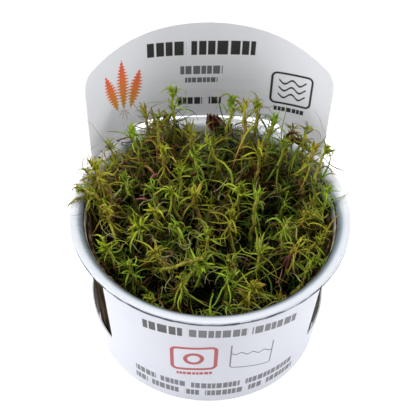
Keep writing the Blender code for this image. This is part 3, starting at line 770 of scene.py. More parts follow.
for sprig, foot in enumerate(places):
    placed = sprig >= SPRIGS
    if placed:
        x, y, high = PLACED_TUFTS[sprig - SPRIGS]
        lean = np.array([x, y]) - foot[:2] + grown.normal(0, 0.5, 2)
        high += grown.uniform(-1, 1)
    else:
        least, most = (2, 9) if foot[1] > 12 else (4, 12)
        high = np.interp(foot[1], *CROWN) - grown.uniform(least, most)
        lean = grown.normal(0, 2.5, 2)
    knots = [foot, [foot[0] + 0.4 * lean[0], foot[1] + 0.2 * lean[1], 0.6 * high + 7],
             [foot[0] + lean[0], foot[1] + lean[1], high]]
    line, runs = smooth_line(np.array(knots), 1.6)
    line = kept_inside(line + 0.9 * wavering(runs, 5, sprig * 2.7, 3))
    browned = placed and foot[0] < -5 and foot[1] > 5
    kind = 2 if browned else grown.integers(0, 3)
    sprigs.tube(line, np.linspace(0.4, 0.22, len(line)), 6, np.linspace(1, 0.2, len(line)),
                grown.uniform(0.1, 0.8), grown.random(), slot=2 * kind)
    drops = SPRIG_DROPS + grown.uniform(-0.5, 0.5, many)
    distances = np.clip(runs[-1] - drops, 1, runs[-1])
    uprights = np.tile([0.02, 0.01, 1.0], (many, 1))
    outs = sideways(uprights, np.arange(many) * 2.4 + grown.normal(0, 0.4, many))
    lifts = np.radians(np.interp(drops, [0, 2, 5, 12], [75, 55, 15, -30]) + grown.normal(0, 36, many))
    lengths = np.interp(drops, [0, 3, 8], [3.4, 7.4, 9.6]) * grown.lognormal(-0.08, 0.38, many)
    bends, sways = tilts(60, 55, many), tilts(0, 45, many)
    widths = grown.lognormal(-0.85, 0.3, many)
    # Painted shade: added age darkens the sprigs' leaves, the unplaced ones low among the shoots most of
    # all
    ages = np.clip(drops / 13, 0, 1) * grown.uniform(0.5, 1.2, many) + (0.15 if placed else 0.5)
    reddened = grown.random(many) < (0.6 if placed or sprig % 4 == 0 else 0.3)
    blushes = reddened * grown.uniform(0.2, 1.0, many) * (1.8 if browned else 1)
    tone = 0.3 if placed else 0.55 * grown.random() ** 1.5
    tones = tone + grown.uniform(0, 0.5 if placed else 0.25, many)
    sprigs.lifted_leaves(along_line(line, runs, distances), outs, uprights, lifts, lengths, bends,
                         sways, widths, ages, blushes, tones, curl=1.8, droop=0.2, slot=2 * kind + 1)
side_sprigs = sprigs.piece("side_sprigs", [paint for pair in zip(stems, leaves_by_kind) for paint in pair])
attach(side_sprigs, "root")


# The old growth under the living tips: dark stems and roots that stand between the shoots and
# mat the cup's wall, with withered leaves hanging on them. Their near-black colour is partly dead growth
# and partly painted shade.
OLD_STEMS, OLD_LEAVES, OLD_FOOT = 170, 16, 9.0
MAT_SIDES, MAT_ROWS, MAT_FOOT = 180, 26, 2.2
WALL_ROOTS, ROOT_POINTS = 150, 12


def about_axis(reach, turns, heights):
    """Points at their distances from the cup's axis."""
    return np.stack([reach * np.cos(turns), reach * np.sin(turns), heights], -1)


old = Tangle()
feet_turns = grown.uniform(0, math.tau, OLD_STEMS)
feet_reach = 29.5 * np.sqrt(grown.uniform(0.0, 1, OLD_STEMS))
for turn, reach in zip(feet_turns, feet_reach):
    high = grown.uniform(22, 34)
    lean = grown.normal(0, 3.0, 2)
    foot = np.array([reach * math.cos(turn), reach * math.sin(turn), OLD_FOOT])
    knots = np.array([foot + [out * lean[0], out * lean[1], up * (high - OLD_FOOT)]
                      for out, up in ((0, 0), (0.3, 0.35), (1, 0.7), (1.6, 1))])
    line, runs = smooth_line(knots, 2.2)
    line = kept_inside(line)
    old.tube(line, np.linspace(0.55, 0.35, len(line)), 6, np.linspace(1, 0.7, len(line)),
             grown.uniform(0, 1), grown.random())
    distances = grown.uniform(2, runs[-1], OLD_LEAVES)
    outs = sideways(np.tile([0.02, 0.01, 1.0], (OLD_LEAVES, 1)), grown.uniform(0, math.tau, OLD_LEAVES))
    lifts = tilts(5, 35, OLD_LEAVES)
    uprights = np.tile([0.0, 0.0, 1.0], (OLD_LEAVES, 1))
    old.lifted_leaves(along_line(line, runs, distances), outs, uprights, lifts,
                      grown.uniform(4, 8, OLD_LEAVES), tilts(60, 50, OLD_LEAVES),
                      tilts(0, 30, OLD_LEAVES), grown.uniform(0.5, 0.9, OLD_LEAVES),
                      grown.uniform(0.6, 1, OLD_LEAVES), grown.uniform(0, 1, OLD_LEAVES),
                      grown.random(OLD_LEAVES), parts=5, curl=1.0)

# The mat is a thin ragged shell of roots just inside the wall, with its top worn to a fringe
turns = np.linspace(0, math.tau, MAT_SIDES, endpoint=False)
tops = np.array([34.5 + 7.5 * math.cos(turn) ** 2 - 5 * max(0, math.sin(turn)) ** 2
                 + 1.5 * ring_noise(turn, 2) + 2.5 * ring_noise(turn, 9, 5.0) for turn in turns])
rows = []
for face_in in (0, 1):
    for share in np.linspace(0, 1, MAT_ROWS)[::1 if face_in == 0 else -1]:
        heights = MAT_FOOT + (tops - MAT_FOOT) * share
        rough = np.abs([ring_noise(turn, 14, 2.5 * share + face_in * 7) for turn in turns])
        reach = WALL_FOOT + (WALL_LIP - WALL_FOOT) * heights / LIP_LOW - 0.12 - 0.2 * rough - face_in * (
            0.6 + 0.8 * rough)
        rows.append(about_axis(reach, turns, heights))
index = np.arange(len(rows) * MAT_SIDES).reshape(len(rows), MAT_SIDES)
old.add(np.array(rows), ring_faces(np.vstack([index, index[:1]])),
        np.tile([0.5, 1.0, 0.3, 0.5], (index.size, 1)), 2)
for turn in np.linspace(0, math.tau, WALL_ROOTS, endpoint=False) + grown.normal(0, 0.03, WALL_ROOTS):
    high = grown.uniform(24, 40)
    heights = 3 + (high - 3) * np.linspace(0, 1, ROOT_POINTS)
    turns = turn + np.cumsum(grown.normal(0, 0.012, ROOT_POINTS))
    reach = WALL_FOOT + (WALL_LIP - WALL_FOOT) * heights / LIP_LOW - 0.42 - grown.uniform(0, 0.7)
    old.tube(about_axis(reach, turns, heights), np.full(ROOT_POINTS, grown.uniform(0.2, 0.4)), 6,
             np.ones(ROOT_POINTS), grown.uniform(0, 1), grown.random())
# Painted shade in part: these near-black colours darken the deep gaps between the shoots
old_stem_shaded = stem_paint("old_stem_shaded", (0.01, 0.013, 0.003), (0.012, 0.008, 0.003), (0.03, 0.017, 0.008))
old_leaf_shaded = leaf_paint("old_leaf_shaded", (0.009, 0.012, 0.002), (0.006, 0.018, 0.001), (0.004, 0.009, 0.001),
                      (0.002, 0.004, 0.001), (0.01, 0.005, 0.003))
mat = Paint("root_mat", roughness=0.8, specular_ior_level=0.08)
mat_streaks = mat.noise(520, 5, stretch=(1, 1, 0.16))
mat_blots = mat.noise(110, 3)
root_mat = mat.feed(
    base_color=mat.mix(((mat_blots - 0.5) * 7).clamped(),
                       mat.ramp(mat_streaks, [(0.35, (0.01, 0.006, 0.003)), (0.5, (0.04, 0.024, 0.013)),
                                              (0.68, (0.14, 0.085, 0.045))]),
                       mat.ramp(mat_streaks, [(0.35, (0.006, 0.009, 0.002)), (0.55, (0.03, 0.045, 0.007)),
                                              (0.7, (0.09, 0.1, 0.02))])),
    normal=mat.bump(mat_streaks, 0.9, 0.0008))
old_growth = old.piece("old_stems_and_leaves", [old_stem_shaded, old_leaf_shaded, root_mat])
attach(old_growth, "root")


# Loose bits among the tips: pale leaf skeletons and threads, torn red and brown leaves, and
# broken stems, caught where they fell.
THREADS, FALLEN_STEMS = 220, 5
BITS = [
    # Kind, half width in millimetres, and the points it lies along
    ("stem", 0.6, [(-14.6, -14.7, 38.0), (-11.2, -15.7, 40.0), (-7.3, -15.6, 42.0), (-2.6, -14.8, 43.0)]),
    ("stem", 0.75, [(24.1, -1.6, 34.0), (22.8, -2.4, 38.0), (21.3, -2.3, 43.0)]),
    ("stem", 0.7, [(26.9, 2.3, 43.0), (29.8, 0.2, 44.0), (32.0, -2.0, 44.6)]),
    ("red", 0.45, [(-34.3, 5.0, 33.5), (-34.4, 5.5, 36.0), (-34.3, 5.9, 39.0)]),
    ("red", 0.4, [(-11.7, 21.4, 48.0), (-10.5, 21.4, 50.0), (-8.8, 21.4, 52.0)]),
    ("dark", 1.0, [(-15.4, 23.6, 45.0), (-14.5, 24.5, 47.0), (-13.3, 25.4, 50.0)]),
    ("pale", 0.7, [(-14.9, 20.1, 41.0), (-14.6, 20.4, 44.0), (-14.6, 20.8, 47.0)]),
    ("pale", 0.8, [(-13.4, 20.7, 42.0), (-12.8, 20.7, 45.0), (-12.2, 21.0, 49.0)]),
    ("brown", 1.1, [(24.0, 22.9, 52.5), (27.2, 21.4, 52.3), (30.0, 19.0, 50.5)]),
    ("brown", 0.5, [(21.9, 19.7, 55.0), (23.4, 19.5, 58.0), (26.0, 19.4, 58.0)]),
    ("brown", 0.8, [(19.9, -14.5, 38.0), (21.1, -13.1, 39.6), (22.3, -11.4, 40.2)]),
    ("brown", 0.6, [(21.0, -15.2, 38.5), (21.8, -13.6, 40.2), (22.0, -11.8, 41.5)]),
    ("brown", 0.6, [(19.4, -12.9, 38.6), (20.9, -12.4, 40.0), (23.2, -12.6, 40.4)]),
    ("pink", 0.6, [(-17.0, 11.8, 47.0), (-15.9, 12.4, 48.2), (-14.4, 13.2, 48.0)]),
    ("pink", 0.5, [(-27.2, 5.7, 44.0), (-26.3, 5.9, 45.2), (-25.1, 5.7, 46.0)]),
    ("pink", 0.45, [(-21.7, 6.8, 44.0), (-19.4, 5.8, 45.4), (-17.1, 5.9, 44.6)]),
    ("brown", 0.45, [(-26.0, 17.0, 45.5), (-24.6, 17.6, 48.5), (-22.8, 17.2, 47.0), (-22.4, 16.4, 45.0)]),
    ("brown", 0.4, [(-24.0, 15.8, 46.0), (-22.3, 16.4, 48.2), (-20.4, 16.0, 46.2)]),
    ("brown", 0.5, [(-27.5, 15.0, 45.0), (-26.8, 15.8, 47.6), (-25.0, 15.4, 48.4), (-24.2, 14.6, 46.8)]),
    ("red", 0.35, [(-23.4, 18.8, 48.0), (-21.8, 18.2, 49.4), (-20.2, 18.0, 48.6)]),
    ("brown", 0.9, [(-13.0, 29.5, 52.0), (-12.7, 29.0, 54.0), (-12.4, 29.1, 56.5)]),
    ("brown", 0.9, [(11.1, 14.4, 44.0), (12.3, 13.7, 48.0), (12.9, 12.6, 52.0)]),
    ("brown", 0.6, [(-8.8, 14.6, 44.5), (-5.4, 13.8, 46.5), (-1.6, 14.3, 48.0)]),
]
BIT_COLOURS = {
    "stem": (0.34, 0.29, 0.035), "red": (0.36, 0.05, 0.02), "dark": (0.01, 0.012, 0.004),
    "sprig": (0.26, 0.3, 0.02), "pale": (0.4, 0.4, 0.16), "brown": (0.1, 0.03, 0.014),
    "pink": (0.36, 0.13, 0.11),
}
bit_kinds = list(BIT_COLOURS)

loose = Tangle()
fallen = []
for stem in range(FALLEN_STEMS):
    turn, reach = grown.uniform(0, math.tau), 25 * math.sqrt(grown.uniform(0.05, 1))
    way = grown.uniform(0, math.tau)
    middle = np.array([reach * math.cos(turn), reach * math.sin(turn), 0])
    middle[2] = np.interp(middle[1], *CROWN) - grown.uniform(4, 8)
    half_run = np.array([math.cos(way), math.sin(way), grown.uniform(-0.3, 0.7)]) * grown.uniform(4, 7)
    half = grown.uniform(0.4, 0.6)
    bowed = middle + grown.normal(0, 1.2, 3)
    fallen.append(("stem", half, [middle - half_run, bowed, middle + half_run]))
for kind, half, points in BITS + fallen:
    line, runs = smooth_line(np.array(points, float), 0.5 if kind == "stem" else 0.8)
    line = kept_inside(line)
    count = len(line)
    if kind == "stem":
        # Short leaf scars and stubs stand all along it
        many = 12 * len(points)
        picks = grown.integers(0, count, many)
        stub_ways = unit(grown.normal(0, 1, (many, 3)) + [0, 0, 0.5])
        loose.leaves(line[picks], stub_ways, unit(grown.normal(0, 1, (many, 3))),
                     grown.uniform(1.5, 4.5, many), tilts(30, 50, many), np.zeros(many),
                     grown.uniform(0.3, 0.6, many), np.zeros(many), grown.random(many),
                     grown.random(many), parts=4, curl=1.0, slot=bit_kinds.index("sprig"))
        radii = half * (1 + 0.4 * np.array([noise.noise(Vector((run / 0.8, 0.0, half))) for run in runs]))
        loose.tube(line, radii, 10, np.zeros(count), 0.2, 1.0, slot=bit_kinds.index(kind))
        continue
    ahead = unit(np.gradient(line, axis=0))
    side = unit(np.cross(ahead, [0.3, -0.9, 0.35]))
    shares = np.linspace(0, 1, count)
    wide = half * np.sin(np.pi * (0.12 + 0.86 * shares))[:, None]
    up = np.cross(side, ahead)
    fold = 0.3 * wide
    ring = np.stack([line - side * wide + up * fold, line + up * 0.06, line + side * wide + up * fold,
                     line - up * 0.06], 1)
    ring = np.concatenate([ring[:1].mean(1, keepdims=True).repeat(4, 1), ring,
                           ring[-1:].mean(1, keepdims=True).repeat(4, 1)])
    share = np.linspace(0, 1, len(ring))[:, None].repeat(4, 1)
    loose.add(ring, ring_faces(np.arange(share.size).reshape(-1, 4)),
              np.stack([share, share * 0, share, np.full_like(share, 0.6)], -1), bit_kinds.index(kind))
reach = 33 * np.sqrt(grown.uniform(0, 1, THREADS))
places = about_axis(reach, grown.uniform(0, math.tau, THREADS), np.zeros(THREADS))
places[:, 2] = np.interp(places[:, 1], *CROWN) - np.abs(grown.normal(0, 5, THREADS))
ways = unit(grown.normal(0, 1, (THREADS, 3)) * [1, 1, 0.7])
ups = unit(grown.normal(0, 1, (THREADS, 3)))
for kind, start, end in (("pink", 0, 0.03), ("pale", 0.03, 0.65), ("brown", 0.65, 1)):
    part = slice(int(start * THREADS), int(end * THREADS))
    count = part.stop - part.start
    loose.leaves(places[part], ways[part], ups[part], grown.uniform(5, 10, count),
                 tilts(0, 80, count), tilts(0, 60, count), grown.uniform(0.24, 0.44, count),
                 np.zeros(count), grown.random(count), grown.random(count), curl=3.0,
                 slot=bit_kinds.index(kind))


def bit_paint(kind):
    colour = BIT_COLOURS[kind]
    paint = Paint(f"loose_{kind}", roughness=0.5, specular_ior_level=0.3)
    blots = paint.noise(800, 4)
    dark = tuple(0.35 * channel for channel in colour)
    return paint.feed(base_color=paint.ramp(blots, [(0.3, dark), (0.6, colour)]),
                      normal=paint.bump(blots, 0.5, 0.0002))


loose_bits = loose.piece("loose_threads_and_leaves", [bit_paint(kind) for kind in bit_kinds])
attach(loose_bits, "root")


# The dead leaf at the back: thin, dry and crumpled, its edges torn and curled. It leans on the
# shoots with its tip down by the cup's wall.
DEAD_LEAF_WIDE, DEAD_LEAF_HIGH, DEAD_LEAF_THICK = 6.4, 9.0, 0.25
dead_low, dead_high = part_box("dead_leaf")
dead_centre = (Vector(dead_low) + Vector(dead_high)) / 2


def add_grid(name, columns, rows):
    """A flat sheet of so many faces, whose corners are laid where they belong afterwards."""
    deselect_all()
    bpy.ops.mesh.primitive_grid_add(
        x_subdivisions=columns, y_subdivisions=rows, size=1, location=(0, 0, 0))
    sheet = bpy.context.object
    sheet.name = sheet.data.name = name
    return sheet


def thicken(sheet, thickness, side, angle):
    """Makes the sheet thick on one side, or on both for side 0, and shades it smooth."""
    solid = sheet.modifiers.new("thickness", "SOLIDIFY")
    solid.thickness, solid.offset = thickness * MM, side
    bpy.ops.object.modifier_apply(modifier="thickness")
    bpy.ops.object.shade_smooth_by_angle(angle=math.radians(angle))
    sheet.select_set(False)


dead_leaf = add_grid("dead_leaf_crumpled", 26, 30)
for corner in dead_leaf.data.vertices:
    across, up = corner.co.x, corner.co.y
    half = 1.1 - 0.95 * max(0, up + 0.15) - 1.3 * max(0, -0.2 - up)
    crease = 1.5 * abs(math.sin(across * 3.1 * math.pi + 1.2 * up)) - 0.75
    torn = 2.6 * max(0.0, up) * noise.noise(Vector((across * 13, 1.5, 8.0)))
    corner.co = Vector((
        dead_centre.x + DEAD_LEAF_WIDE * MM * (across * half - 0.42 * (up + 0.05)),
        dead_centre.y + MM * (crease + 0.7 * noise.noise(Vector((across * 5, up * 5, 4.0))) - 1.6 * up),
        dead_centre.z + MM * DEAD_LEAF_HIGH * (0.95 * up - 0.16 * across) + MM * torn))
thicken(dead_leaf, DEAD_LEAF_THICK, 0, 60)
dry = Paint("dry_leaf", roughness=0.55)
dry_blots = dry.noise(900, 5)
dead_leaf.data.materials.append(dry.feed(
    base_color=dry.ramp(dry_blots, [(0.3, (0.06, 0.02, 0.011)), (0.5, (0.17, 0.06, 0.034)),
                                    (0.72, (0.32, 0.13, 0.08))]),
    normal=dry.bump(dry.noise(1600, 4), 0.7, 0.0003)))
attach(dead_leaf, "root")
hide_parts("dead_leaf")


# The card sleeve, cut from one white sheet, printed, wrapped round the cup and glued. A front
# band, a strap round the foot, two side windows, and the tall arched panel with its rim slot.
CARD = 0.4
SLEEVE_LOW, STRAP_TOP, WINDOW_CORNER = 0.3, 12.0, 1.5
SLEEVE_FOOT_FRONT, SLEEVE_FOOT_BACK = 32.6, 32.9
BAND_TOP, BAND_TOP_RADIUS, BAND_HALF = 43.8, 36.93, 56.0
PANEL_HALF, PANEL_TOP, PANEL_FALL = 57.0, 80.8, 3.1 / 42.0 ** 2
SHOULDER_RADIUS, SHOULDER_START = 5.0, 50.5
PANEL_RIM_RADIUS, PANEL_FLARE, RIM_HEIGHT, PANEL_DIP = 40.5, 0.05, 45.0, 1.3
SLOT_HALF, SLOT_LOW, SLOT_HIGH, SLOT_RISE, SLOT_END = 34.0, 43.0, 46.4, 1.2, 4.0
ROWS = [5, 10, 3, 14]       # cells up the strap, up to the slot, across it, and up the panel


def eased(value):
    value = max(0.0, min(1.0, value))
    return value * value * (3 - 2 * value)


def card_radius(azimuth, height):
    """Radius of the card's inner face. The azimuth runs from the middle of the back panel."""
    front = SLEEVE_FOOT_FRONT + (BAND_TOP_RADIUS - SLEEVE_FOOT_FRONT) * height / BAND_TOP
    if height < RIM_HEIGHT:
        back = SLEEVE_FOOT_BACK + (PANEL_RIM_RADIUS - SLEEVE_FOOT_BACK) * height / RIM_HEIGHT
        dip = eased((height - STRAP_TOP) / (RIM_HEIGHT - STRAP_TOP))
    else:
        back = PANEL_RIM_RADIUS + PANEL_FLARE * (height - RIM_HEIGHT)
        dip = 1 - 0.5 * (height - RIM_HEIGHT) / (PANEL_TOP - RIM_HEIGHT)
    turn = abs(azimuth) / (SLOT_HALF - 1)
    if turn < 1:
        back -= PANEL_DIP * dip * math.cos(turn * math.pi / 2) ** 2
    round_side = (abs(azimuth) - PANEL_HALF) / (180 - BAND_HALF - PANEL_HALF)
    return back + (front - back) * eased(round_side)


def card_rows(azimuth):
    """Heights of the card's rows on one upright line: strap, slot's edges, top edge."""
    turn = abs(azimuth)
    to_window = min(abs(turn - PANEL_HALF), abs(180 - BAND_HALF - turn)) / 3
    corner = 1.0
    if PANEL_HALF < turn < 180 - BAND_HALF:
        corner = 1 - math.sqrt(1 - (1 - to_window) ** 2) if to_window < 1 else 0.0
    strap = STRAP_TOP + WINDOW_CORNER * corner
    if turn >= PANEL_HALF + 0.01:
        top = BAND_TOP
        return [SLEEVE_LOW, strap, strap + 0.7 * (top - strap), strap + 0.75 * (top - strap), top]
    level = PANEL_TOP - PANEL_FALL * min(turn, SHOULDER_START) ** 2
    if turn > SHOULDER_START:
        out = SHOULDER_RADIUS * (turn - SHOULDER_START) / (PANEL_HALF - SHOULDER_START)
        level += math.sqrt(max(0.0, SHOULDER_RADIUS ** 2 - out ** 2)) - SHOULDER_RADIUS
    middle = (SLOT_LOW + SLOT_HIGH + SLOT_RISE) / 2
    high = SLOT_HIGH + SLOT_RISE * min(1.0, turn / (SLOT_HALF - SLOT_END)) ** 2
    opening = 1.0
    if turn > SLOT_HALF - SLOT_END:
        opening = math.sqrt(max(0.0, 1 - ((turn - SLOT_HALF + SLOT_END) / SLOT_END) ** 2))
    return [SLEEVE_LOW, strap, middle - (middle - SLOT_LOW) * opening,
            middle + (high - middle) * opening, level]


half_turn = sorted(set(np.round(np.r_[
    np.arange(0, 30, 1.5), np.arange(30, 34.01, 0.5), np.arange(35, 50, 1.5), np.arange(50.5, 57.01, 0.5),
    np.arange(57.5, 60.1, 0.5), np.arange(62, 120, 2), np.arange(121, 124.01, 0.5),
    np.arange(125, 180.1, 1.25)], 3)))
card_turns = [-turn for turn in reversed(half_turn[1:])] + half_turn
row_count = sum(ROWS)

sleeve = add_grid("card_sleeve", len(card_turns) - 1, row_count)
for index, corner in enumerate(sleeve.data.vertices):
    azimuth, row = card_turns[index % len(card_turns)], index // len(card_turns)
    heights = card_rows(azimuth)
    band = 0
    while row > ROWS[band]:
        row -= ROWS[band]
        band += 1
    height = heights[band] + (heights[band + 1] - heights[band]) * row / ROWS[band]
    reach, turn = card_radius(azimuth, height), math.radians(azimuth)
    corner.co = Vector((reach * math.sin(turn), reach * math.cos(turn), height)) * MM
bpy.ops.object.mode_set(mode="EDIT")
cut = bmesh.from_edit_mesh(sleeve.data)
cut.faces.ensure_lookup_table()
for face in cut.faces:
    column, row = face.index % (len(card_turns) - 1), face.index // (len(card_turns) - 1)
    middle = abs(card_turns[column] + card_turns[column + 1]) / 2
    in_window = PANEL_HALF < middle < 180 - BAND_HALF and row >= ROWS[0]
    in_slot = middle < SLOT_HALF and ROWS[0] + ROWS[1] <= row < row_count - ROWS[3]
    face.select = bool(in_window or in_slot)
bmesh.update_edit_mesh(sleeve.data)
bpy.ops.mesh.delete(type="FACE")
bpy.ops.mesh.select_all(action="SELECT")
bpy.ops.mesh.remove_doubles(threshold=0.000002)
bpy.ops.mesh.dissolve_degenerate(threshold=0.000001)
bpy.ops.mesh.select_all(action="SELECT")
bpy.ops.mesh.normals_make_consistent(inside=False)
bpy.ops.object.mode_set(mode="OBJECT")
outwards = sum(face.normal.dot(Vector((face.center.x, face.center.y, 0))) for face in sleeve.data.polygons)
thicken(sleeve, CARD, 1 if outwards > 0 else -1, 30)

INK, GREY_INK, RED_INK = (0.012, 0.012, 0.014), (0.1, 0.105, 0.12), (0.38, 0.02, 0.025)
SHOW_THROUGH_SHADE = (0.62, 0.63, 0.66)


class Print(Paint):
    """White card with print on it, laid out in degrees round the cup and millimetres up it."""

    # The default white is the band's and the rear's; like the panel's own white it is set to how the light
    # falls on that face, painted light and shade on one card
    def __init__(self, name, front, white=(0.66, 0.675, 0.765)):
        super().__init__(name, roughness=0.42, coat_weight=0.15, subsurface_weight=0.5,
                         subsurface_scale=0.002, subsurface_radius=(1, 1, 1))
        place = self.place()
        x, y, z = (self.along(place, axis) for axis in "XYZ")
        self.turn = x.math("ARCTAN2", y * -1 if front else y) * math.degrees(1)
        self.height = z * 1000
        self.fibres = self.noise(2600, 3)
        self.colour = self.mix(self.noise(60, 2), white, tuple(0.97 * channel for channel in white))

    def span(self, value, low, high, soft=0.12):
        """1 where the value is between low and high, with a narrow soft edge."""
        return (((high - low) / 2 - abs(value - (low + high) / 2)) / soft + 0.5).clamped()

    def line(self, words, low, high, letter, height, colour, strength=1.0):
        """A line of word-long bars, parted into blocks as long as a letter."""
        blocks = (self.turn / letter + (self.turn * (1.7 / letter)).math("SINE") * 0.16).math("FRACT")
        mark = self.span(height, low, high) * self.span(blocks, 0.09, 0.91, 0.06)
        ends = None
        for left, right in words:
            word = self.span(self.turn, left, right, 0.2)
            ends = word if ends is None else ends.math("MAXIMUM", word)
        self.colour = self.mix(mark * ends * strength, self.colour, colour)

    def box(self, left, right, low, high, stroke, height, colour, per_degree, corner=1.6, cut=999):
        """A rounded frame of one stroke, left open above the cut."""
        wide = abs(self.turn - (left + right) / 2) * per_degree - ((right - left) / 2 * per_degree - corner)
        tall = abs(height - (low + high) / 2) - ((high - low) / 2 - corner)
        out = (wide.math("MAXIMUM", 0.0) ** 2 + tall.math("MAXIMUM", 0.0) ** 2).math("SQRT")
        edge = abs(out + wide.math("MAXIMUM", tall).math("MINIMUM", 0.0) - corner)
        mark = ((stroke / 2 - edge) / 0.12 + 0.5).clamped() * ((height * -1 + cut) / 0.12).clamped()
        self.colour = self.mix(mark, self.colour, colour)

    def leaf(self, turn, height_at, tilt, long, wide, height, low_colour, high_colour, per_degree):
        """A plain pointed leaf standing on its foot at a place, with its colour running up it."""
        sine, cosine = math.sin(math.radians(tilt)), math.cos(math.radians(tilt))
        x, y = (self.turn - turn) * per_degree, height - height_at
        up, side = x * sine + y * cosine, x * cosine - y * sine
        share = (up / long).clamped()
        waved = (share * (long * 5.5)).math("SINE") * 0.3 + 0.75
        half = (share * math.pi).math("SINE") * (wide / 2) * waved
        mark = ((half - abs(side)) / 0.1).clamped()
        vein = ((0.12 - abs(side)) / 0.08).clamped() * 0.5
        self.colour = self.mix(mark, self.colour, self.mix(
            vein, self.mix(share, low_colour, high_colour), low_colour))

    def done(self):
        return self.feed(base_color=self.colour, roughness=self.fibres * 0.16 + 0.34,
                         normal=self.bump(self.fibres, 0.12, 0.00006))


# The panel's printed face: two pale rows painted on it as the shade of the back's print seen through
# the card, a heading, three short lines, a fan of leaves and a framed wave with a line under it
# Painted light and shade: the panel's inner face gets a white of its own, set apart from the band's though
# both are one card
arch = Print("card_arch_print", front=False, white=(0.685, 0.69, 0.74))
PANEL_PER_DEGREE = 0.72
level = arch.height - 0.0027 * (arch.turn + 1.8) ** 2
arch.line([(-22, 21)], 59.0, 60.6, 2.6, level, SHOW_THROUGH_SHADE, 0.5)
arch.line([(-17, -4), (-1, 17)], 54.8, 56.2, 2.4, level, SHOW_THROUGH_SHADE, 0.45)
arch.line([(-24.8, -8.5), (-6.5, 19.6)], 69.3, 74.3, 4.4, level, INK)
arch.line([(-11, 6.7)], 62.3, 65.3, 2.9, level, GREY_INK)
arch.line([(-9, 4.8)], 59.2, 61.0, 2.0, level, GREY_INK)
arch.line([(-12, -1.6), (1.2, 6.6)], 51.0, 53.6, 2.6, level, INK)
for tilt, long in ((168, 6.0), (190, 5.0), (215, 4.0), (150, 4.5)):
    arch.leaf(-36.5, 52.5, tilt, long, 0.5, level, (0.3, 0.16, 0.05), (0.5, 0.4, 0.3), PANEL_PER_DEGREE)
for turn, tilt, long in ((-39.5, -15, 15.0), (-33.5, 15, 15.0), (-36.5, 0, 19.0)):
    arch.leaf(turn, 51.5, tilt, long, 4.4, level, (0.5, 0.24, 0.015), (0.68, 0.04, 0.03), PANEL_PER_DEGREE)
arch.box(27.6, 46.0, 52.6, 63.8, 0.75, level, INK, PANEL_PER_DEGREE)
waves = (arch.turn * 0.9).math("SINE") * 0.8
for rise in (55.6, 58.2, 60.8):
    wave = arch.span(level - waves, rise - 0.35, rise + 0.35) * arch.span(arch.turn, 30.6, 43.2)
    arch.colour = arch.mix(wave, arch.colour, INK)
arch.line([(29.5, 43.5)], 49.6, 51.2, 2.2, level, INK)

# Painted shade: inside the strap the card is darkened brown where it lies in the dark of the roots
arch.colour = arch.mix(((arch.height * -1 + 13.2) / 0.6).clamped(), arch.colour, (0.04, 0.028, 0.02))

# The band's printed face: a heading, two framed marks and two long lines of small type
band = Print("card_band_print", front=True)
BAND_PER_DEGREE = 0.62
heading = band.height + 0.002 * (band.turn + 2) ** 2
band.line([(-32.5, -14)], 34.6, 38.6, 4.2, heading, INK)
band.line([(-11.5, 14.5), (16.5, 39.5)], 34.8, 38.4, 3.6, heading, GREY_INK)
band.box(-19, 1.2, 18.6, 29.6, 1.1, band.height - 0.1 * band.turn, RED_INK, BAND_PER_DEGREE)
disc = ((band.turn + 8.9) * BAND_PER_DEGREE) ** 2 + (band.height - 0.1 * band.turn - 24.1) ** 2
disc_edge = abs(disc.math("SQRT") - 2.4)
band.colour = band.mix(((0.6 - disc_edge) / 0.12 + 0.5).clamped(), band.colour, RED_INK)
band.line([(-17, 0)], 15.6, 16.9, 2.0, band.height - 0.1 * band.turn, RED_INK)
tank = band.height + 0.16 * (band.turn - 18)
band.box(8, 28.5, 17.0, 60.0, 0.42, tank, GREY_INK, BAND_PER_DEGREE, 0.8, cut=28.6)
ripple = band.span(tank - (band.turn * 1.1).math("SINE") * 0.5, 24.0, 24.5) * band.span(band.turn, 8, 28.5)
band.colour = band.mix(ripple, band.colour, GREY_INK)
band.line([(-39.6, -28), (-25.5, -13), (-10, 14), (17, 44)], 7.4, 10.2, 2.6, band.height, INK, 0.85)
band.line([(-40, -33), (-30.5, -16), (-13, -6), (-3, 16), (19, 26), (29, 46)], 3.4, 6.2, 2.6,
          band.height, INK, 0.85)

# Three rows of small type on the panel's back
rear = Print("card_rear_print", front=False)
rear_level = rear.height - 0.0027 * (rear.turn + 1.8) ** 2
rear.line([(-22, -9), (-7, 6), (8, 21)], 58.6, 61.0, 2.6, rear_level, GREY_INK)
rear.line([(-17, -4), (-1, 17)], 54.2, 56.6, 2.4, rear_level, GREY_INK)
rear.line([(-12, 0), (2, 10)], 49.8, 52.2, 2.4, rear_level, GREY_INK)

edge = Paint("card_edge", roughness=0.7)
edge_fibres = edge.noise(3000, 3)
edge_card = edge.feed(base_color=edge.ramp(edge_fibres, [(0.3, (0.8, 0.8, 0.82)), (0.7, (0.9, 0.9, 0.91))]))
for card in (band.done(), arch.done(), edge_card, rear.done()):
    sleeve.data.materials.append(card)
for face in sleeve.data.polygons:
    radial = Vector((face.center.x, face.center.y, 0)).normalized()
    facing = face.normal.dot(radial)
    outer = 3 if face.center.y > 20 * MM else 0
    face.material_index = outer if facing > 0.7 else 1 if facing < -0.7 else 2
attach(sleeve, "root")
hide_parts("sleeve")


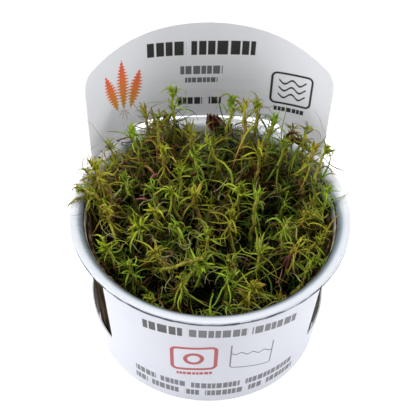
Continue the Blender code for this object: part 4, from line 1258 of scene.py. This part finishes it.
# The studio: a plain pale floor that the cup stands on, seen from above the front, under three
# soft lamps and an even pale sky.
deselect_all()
bpy.ops.mesh.primitive_plane_add(size=4, location=(0, 0, -0.00005))
floor = bpy.context.object
floor.name = "floor"
floor_paint = Paint("pale_floor", roughness=0.9, specular_ior_level=0.1, emission_color=(1, 1, 1, 1),
                    emission_strength=0.35)
floor_greys = [(0.0, (0.93, 0.93, 0.93)), (1.0, (0.95, 0.95, 0.95))]
floor.data.materials.append(floor_paint.feed(
    base_color=floor_paint.ramp(floor_paint.noise(3, 1), floor_greys)))
floor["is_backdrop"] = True


def add_lamp(name, place, aim, size, power, colour=(1, 1, 1)):
    lamp = bpy.data.lights.new(name, "AREA")
    lamp.shape, lamp.size, lamp.energy, lamp.color = "DISK", size, power, colour
    holder = bpy.data.objects.new(name, lamp)
    bpy.context.scene.collection.objects.link(holder)
    holder.location = place
    holder.rotation_euler = (Vector(aim) - Vector(place)).to_track_quat("-Z", "Y").to_euler()


add_lamp("overhead_softbox", (-0.08, 0.0, 0.75), (0, 0, 0.03), 0.5, 3.4)
add_lamp("left_softbox", (-0.67, -0.05, 0.38), (0, 0, 0.03), 0.4, 3.8, (0.98, 0.985, 1.0))
add_lamp("right_softbox", (0.66, -0.05, 0.4), (0, 0, 0.03), 0.4, 3.4, (0.98, 0.985, 1.0))
sky = bpy.data.worlds.new("pale_sky")
bpy.context.scene.world = sky
sky.use_nodes = True
sky.node_tree.nodes["Background"].inputs["Color"].default_value = (1, 1, 1, 1)
sky.node_tree.nodes["Background"].inputs["Strength"].default_value = 0.22
bpy.context.scene.view_settings.view_transform = "Standard"

camera = bpy.data.objects.new("camera", bpy.data.cameras.new("camera"))
bpy.context.scene.collection.objects.link(camera)
camera.location = (-0.01831, -0.26190, 0.33049)
camera.rotation_euler = [math.radians(angle) for angle in (42.7462, -1.5807, -2.2613)]
camera.data.sensor_width = 36
camera.data.lens = 116.71
camera.data.clip_start = 0.01
bpy.context.scene.camera = camera

low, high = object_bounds()
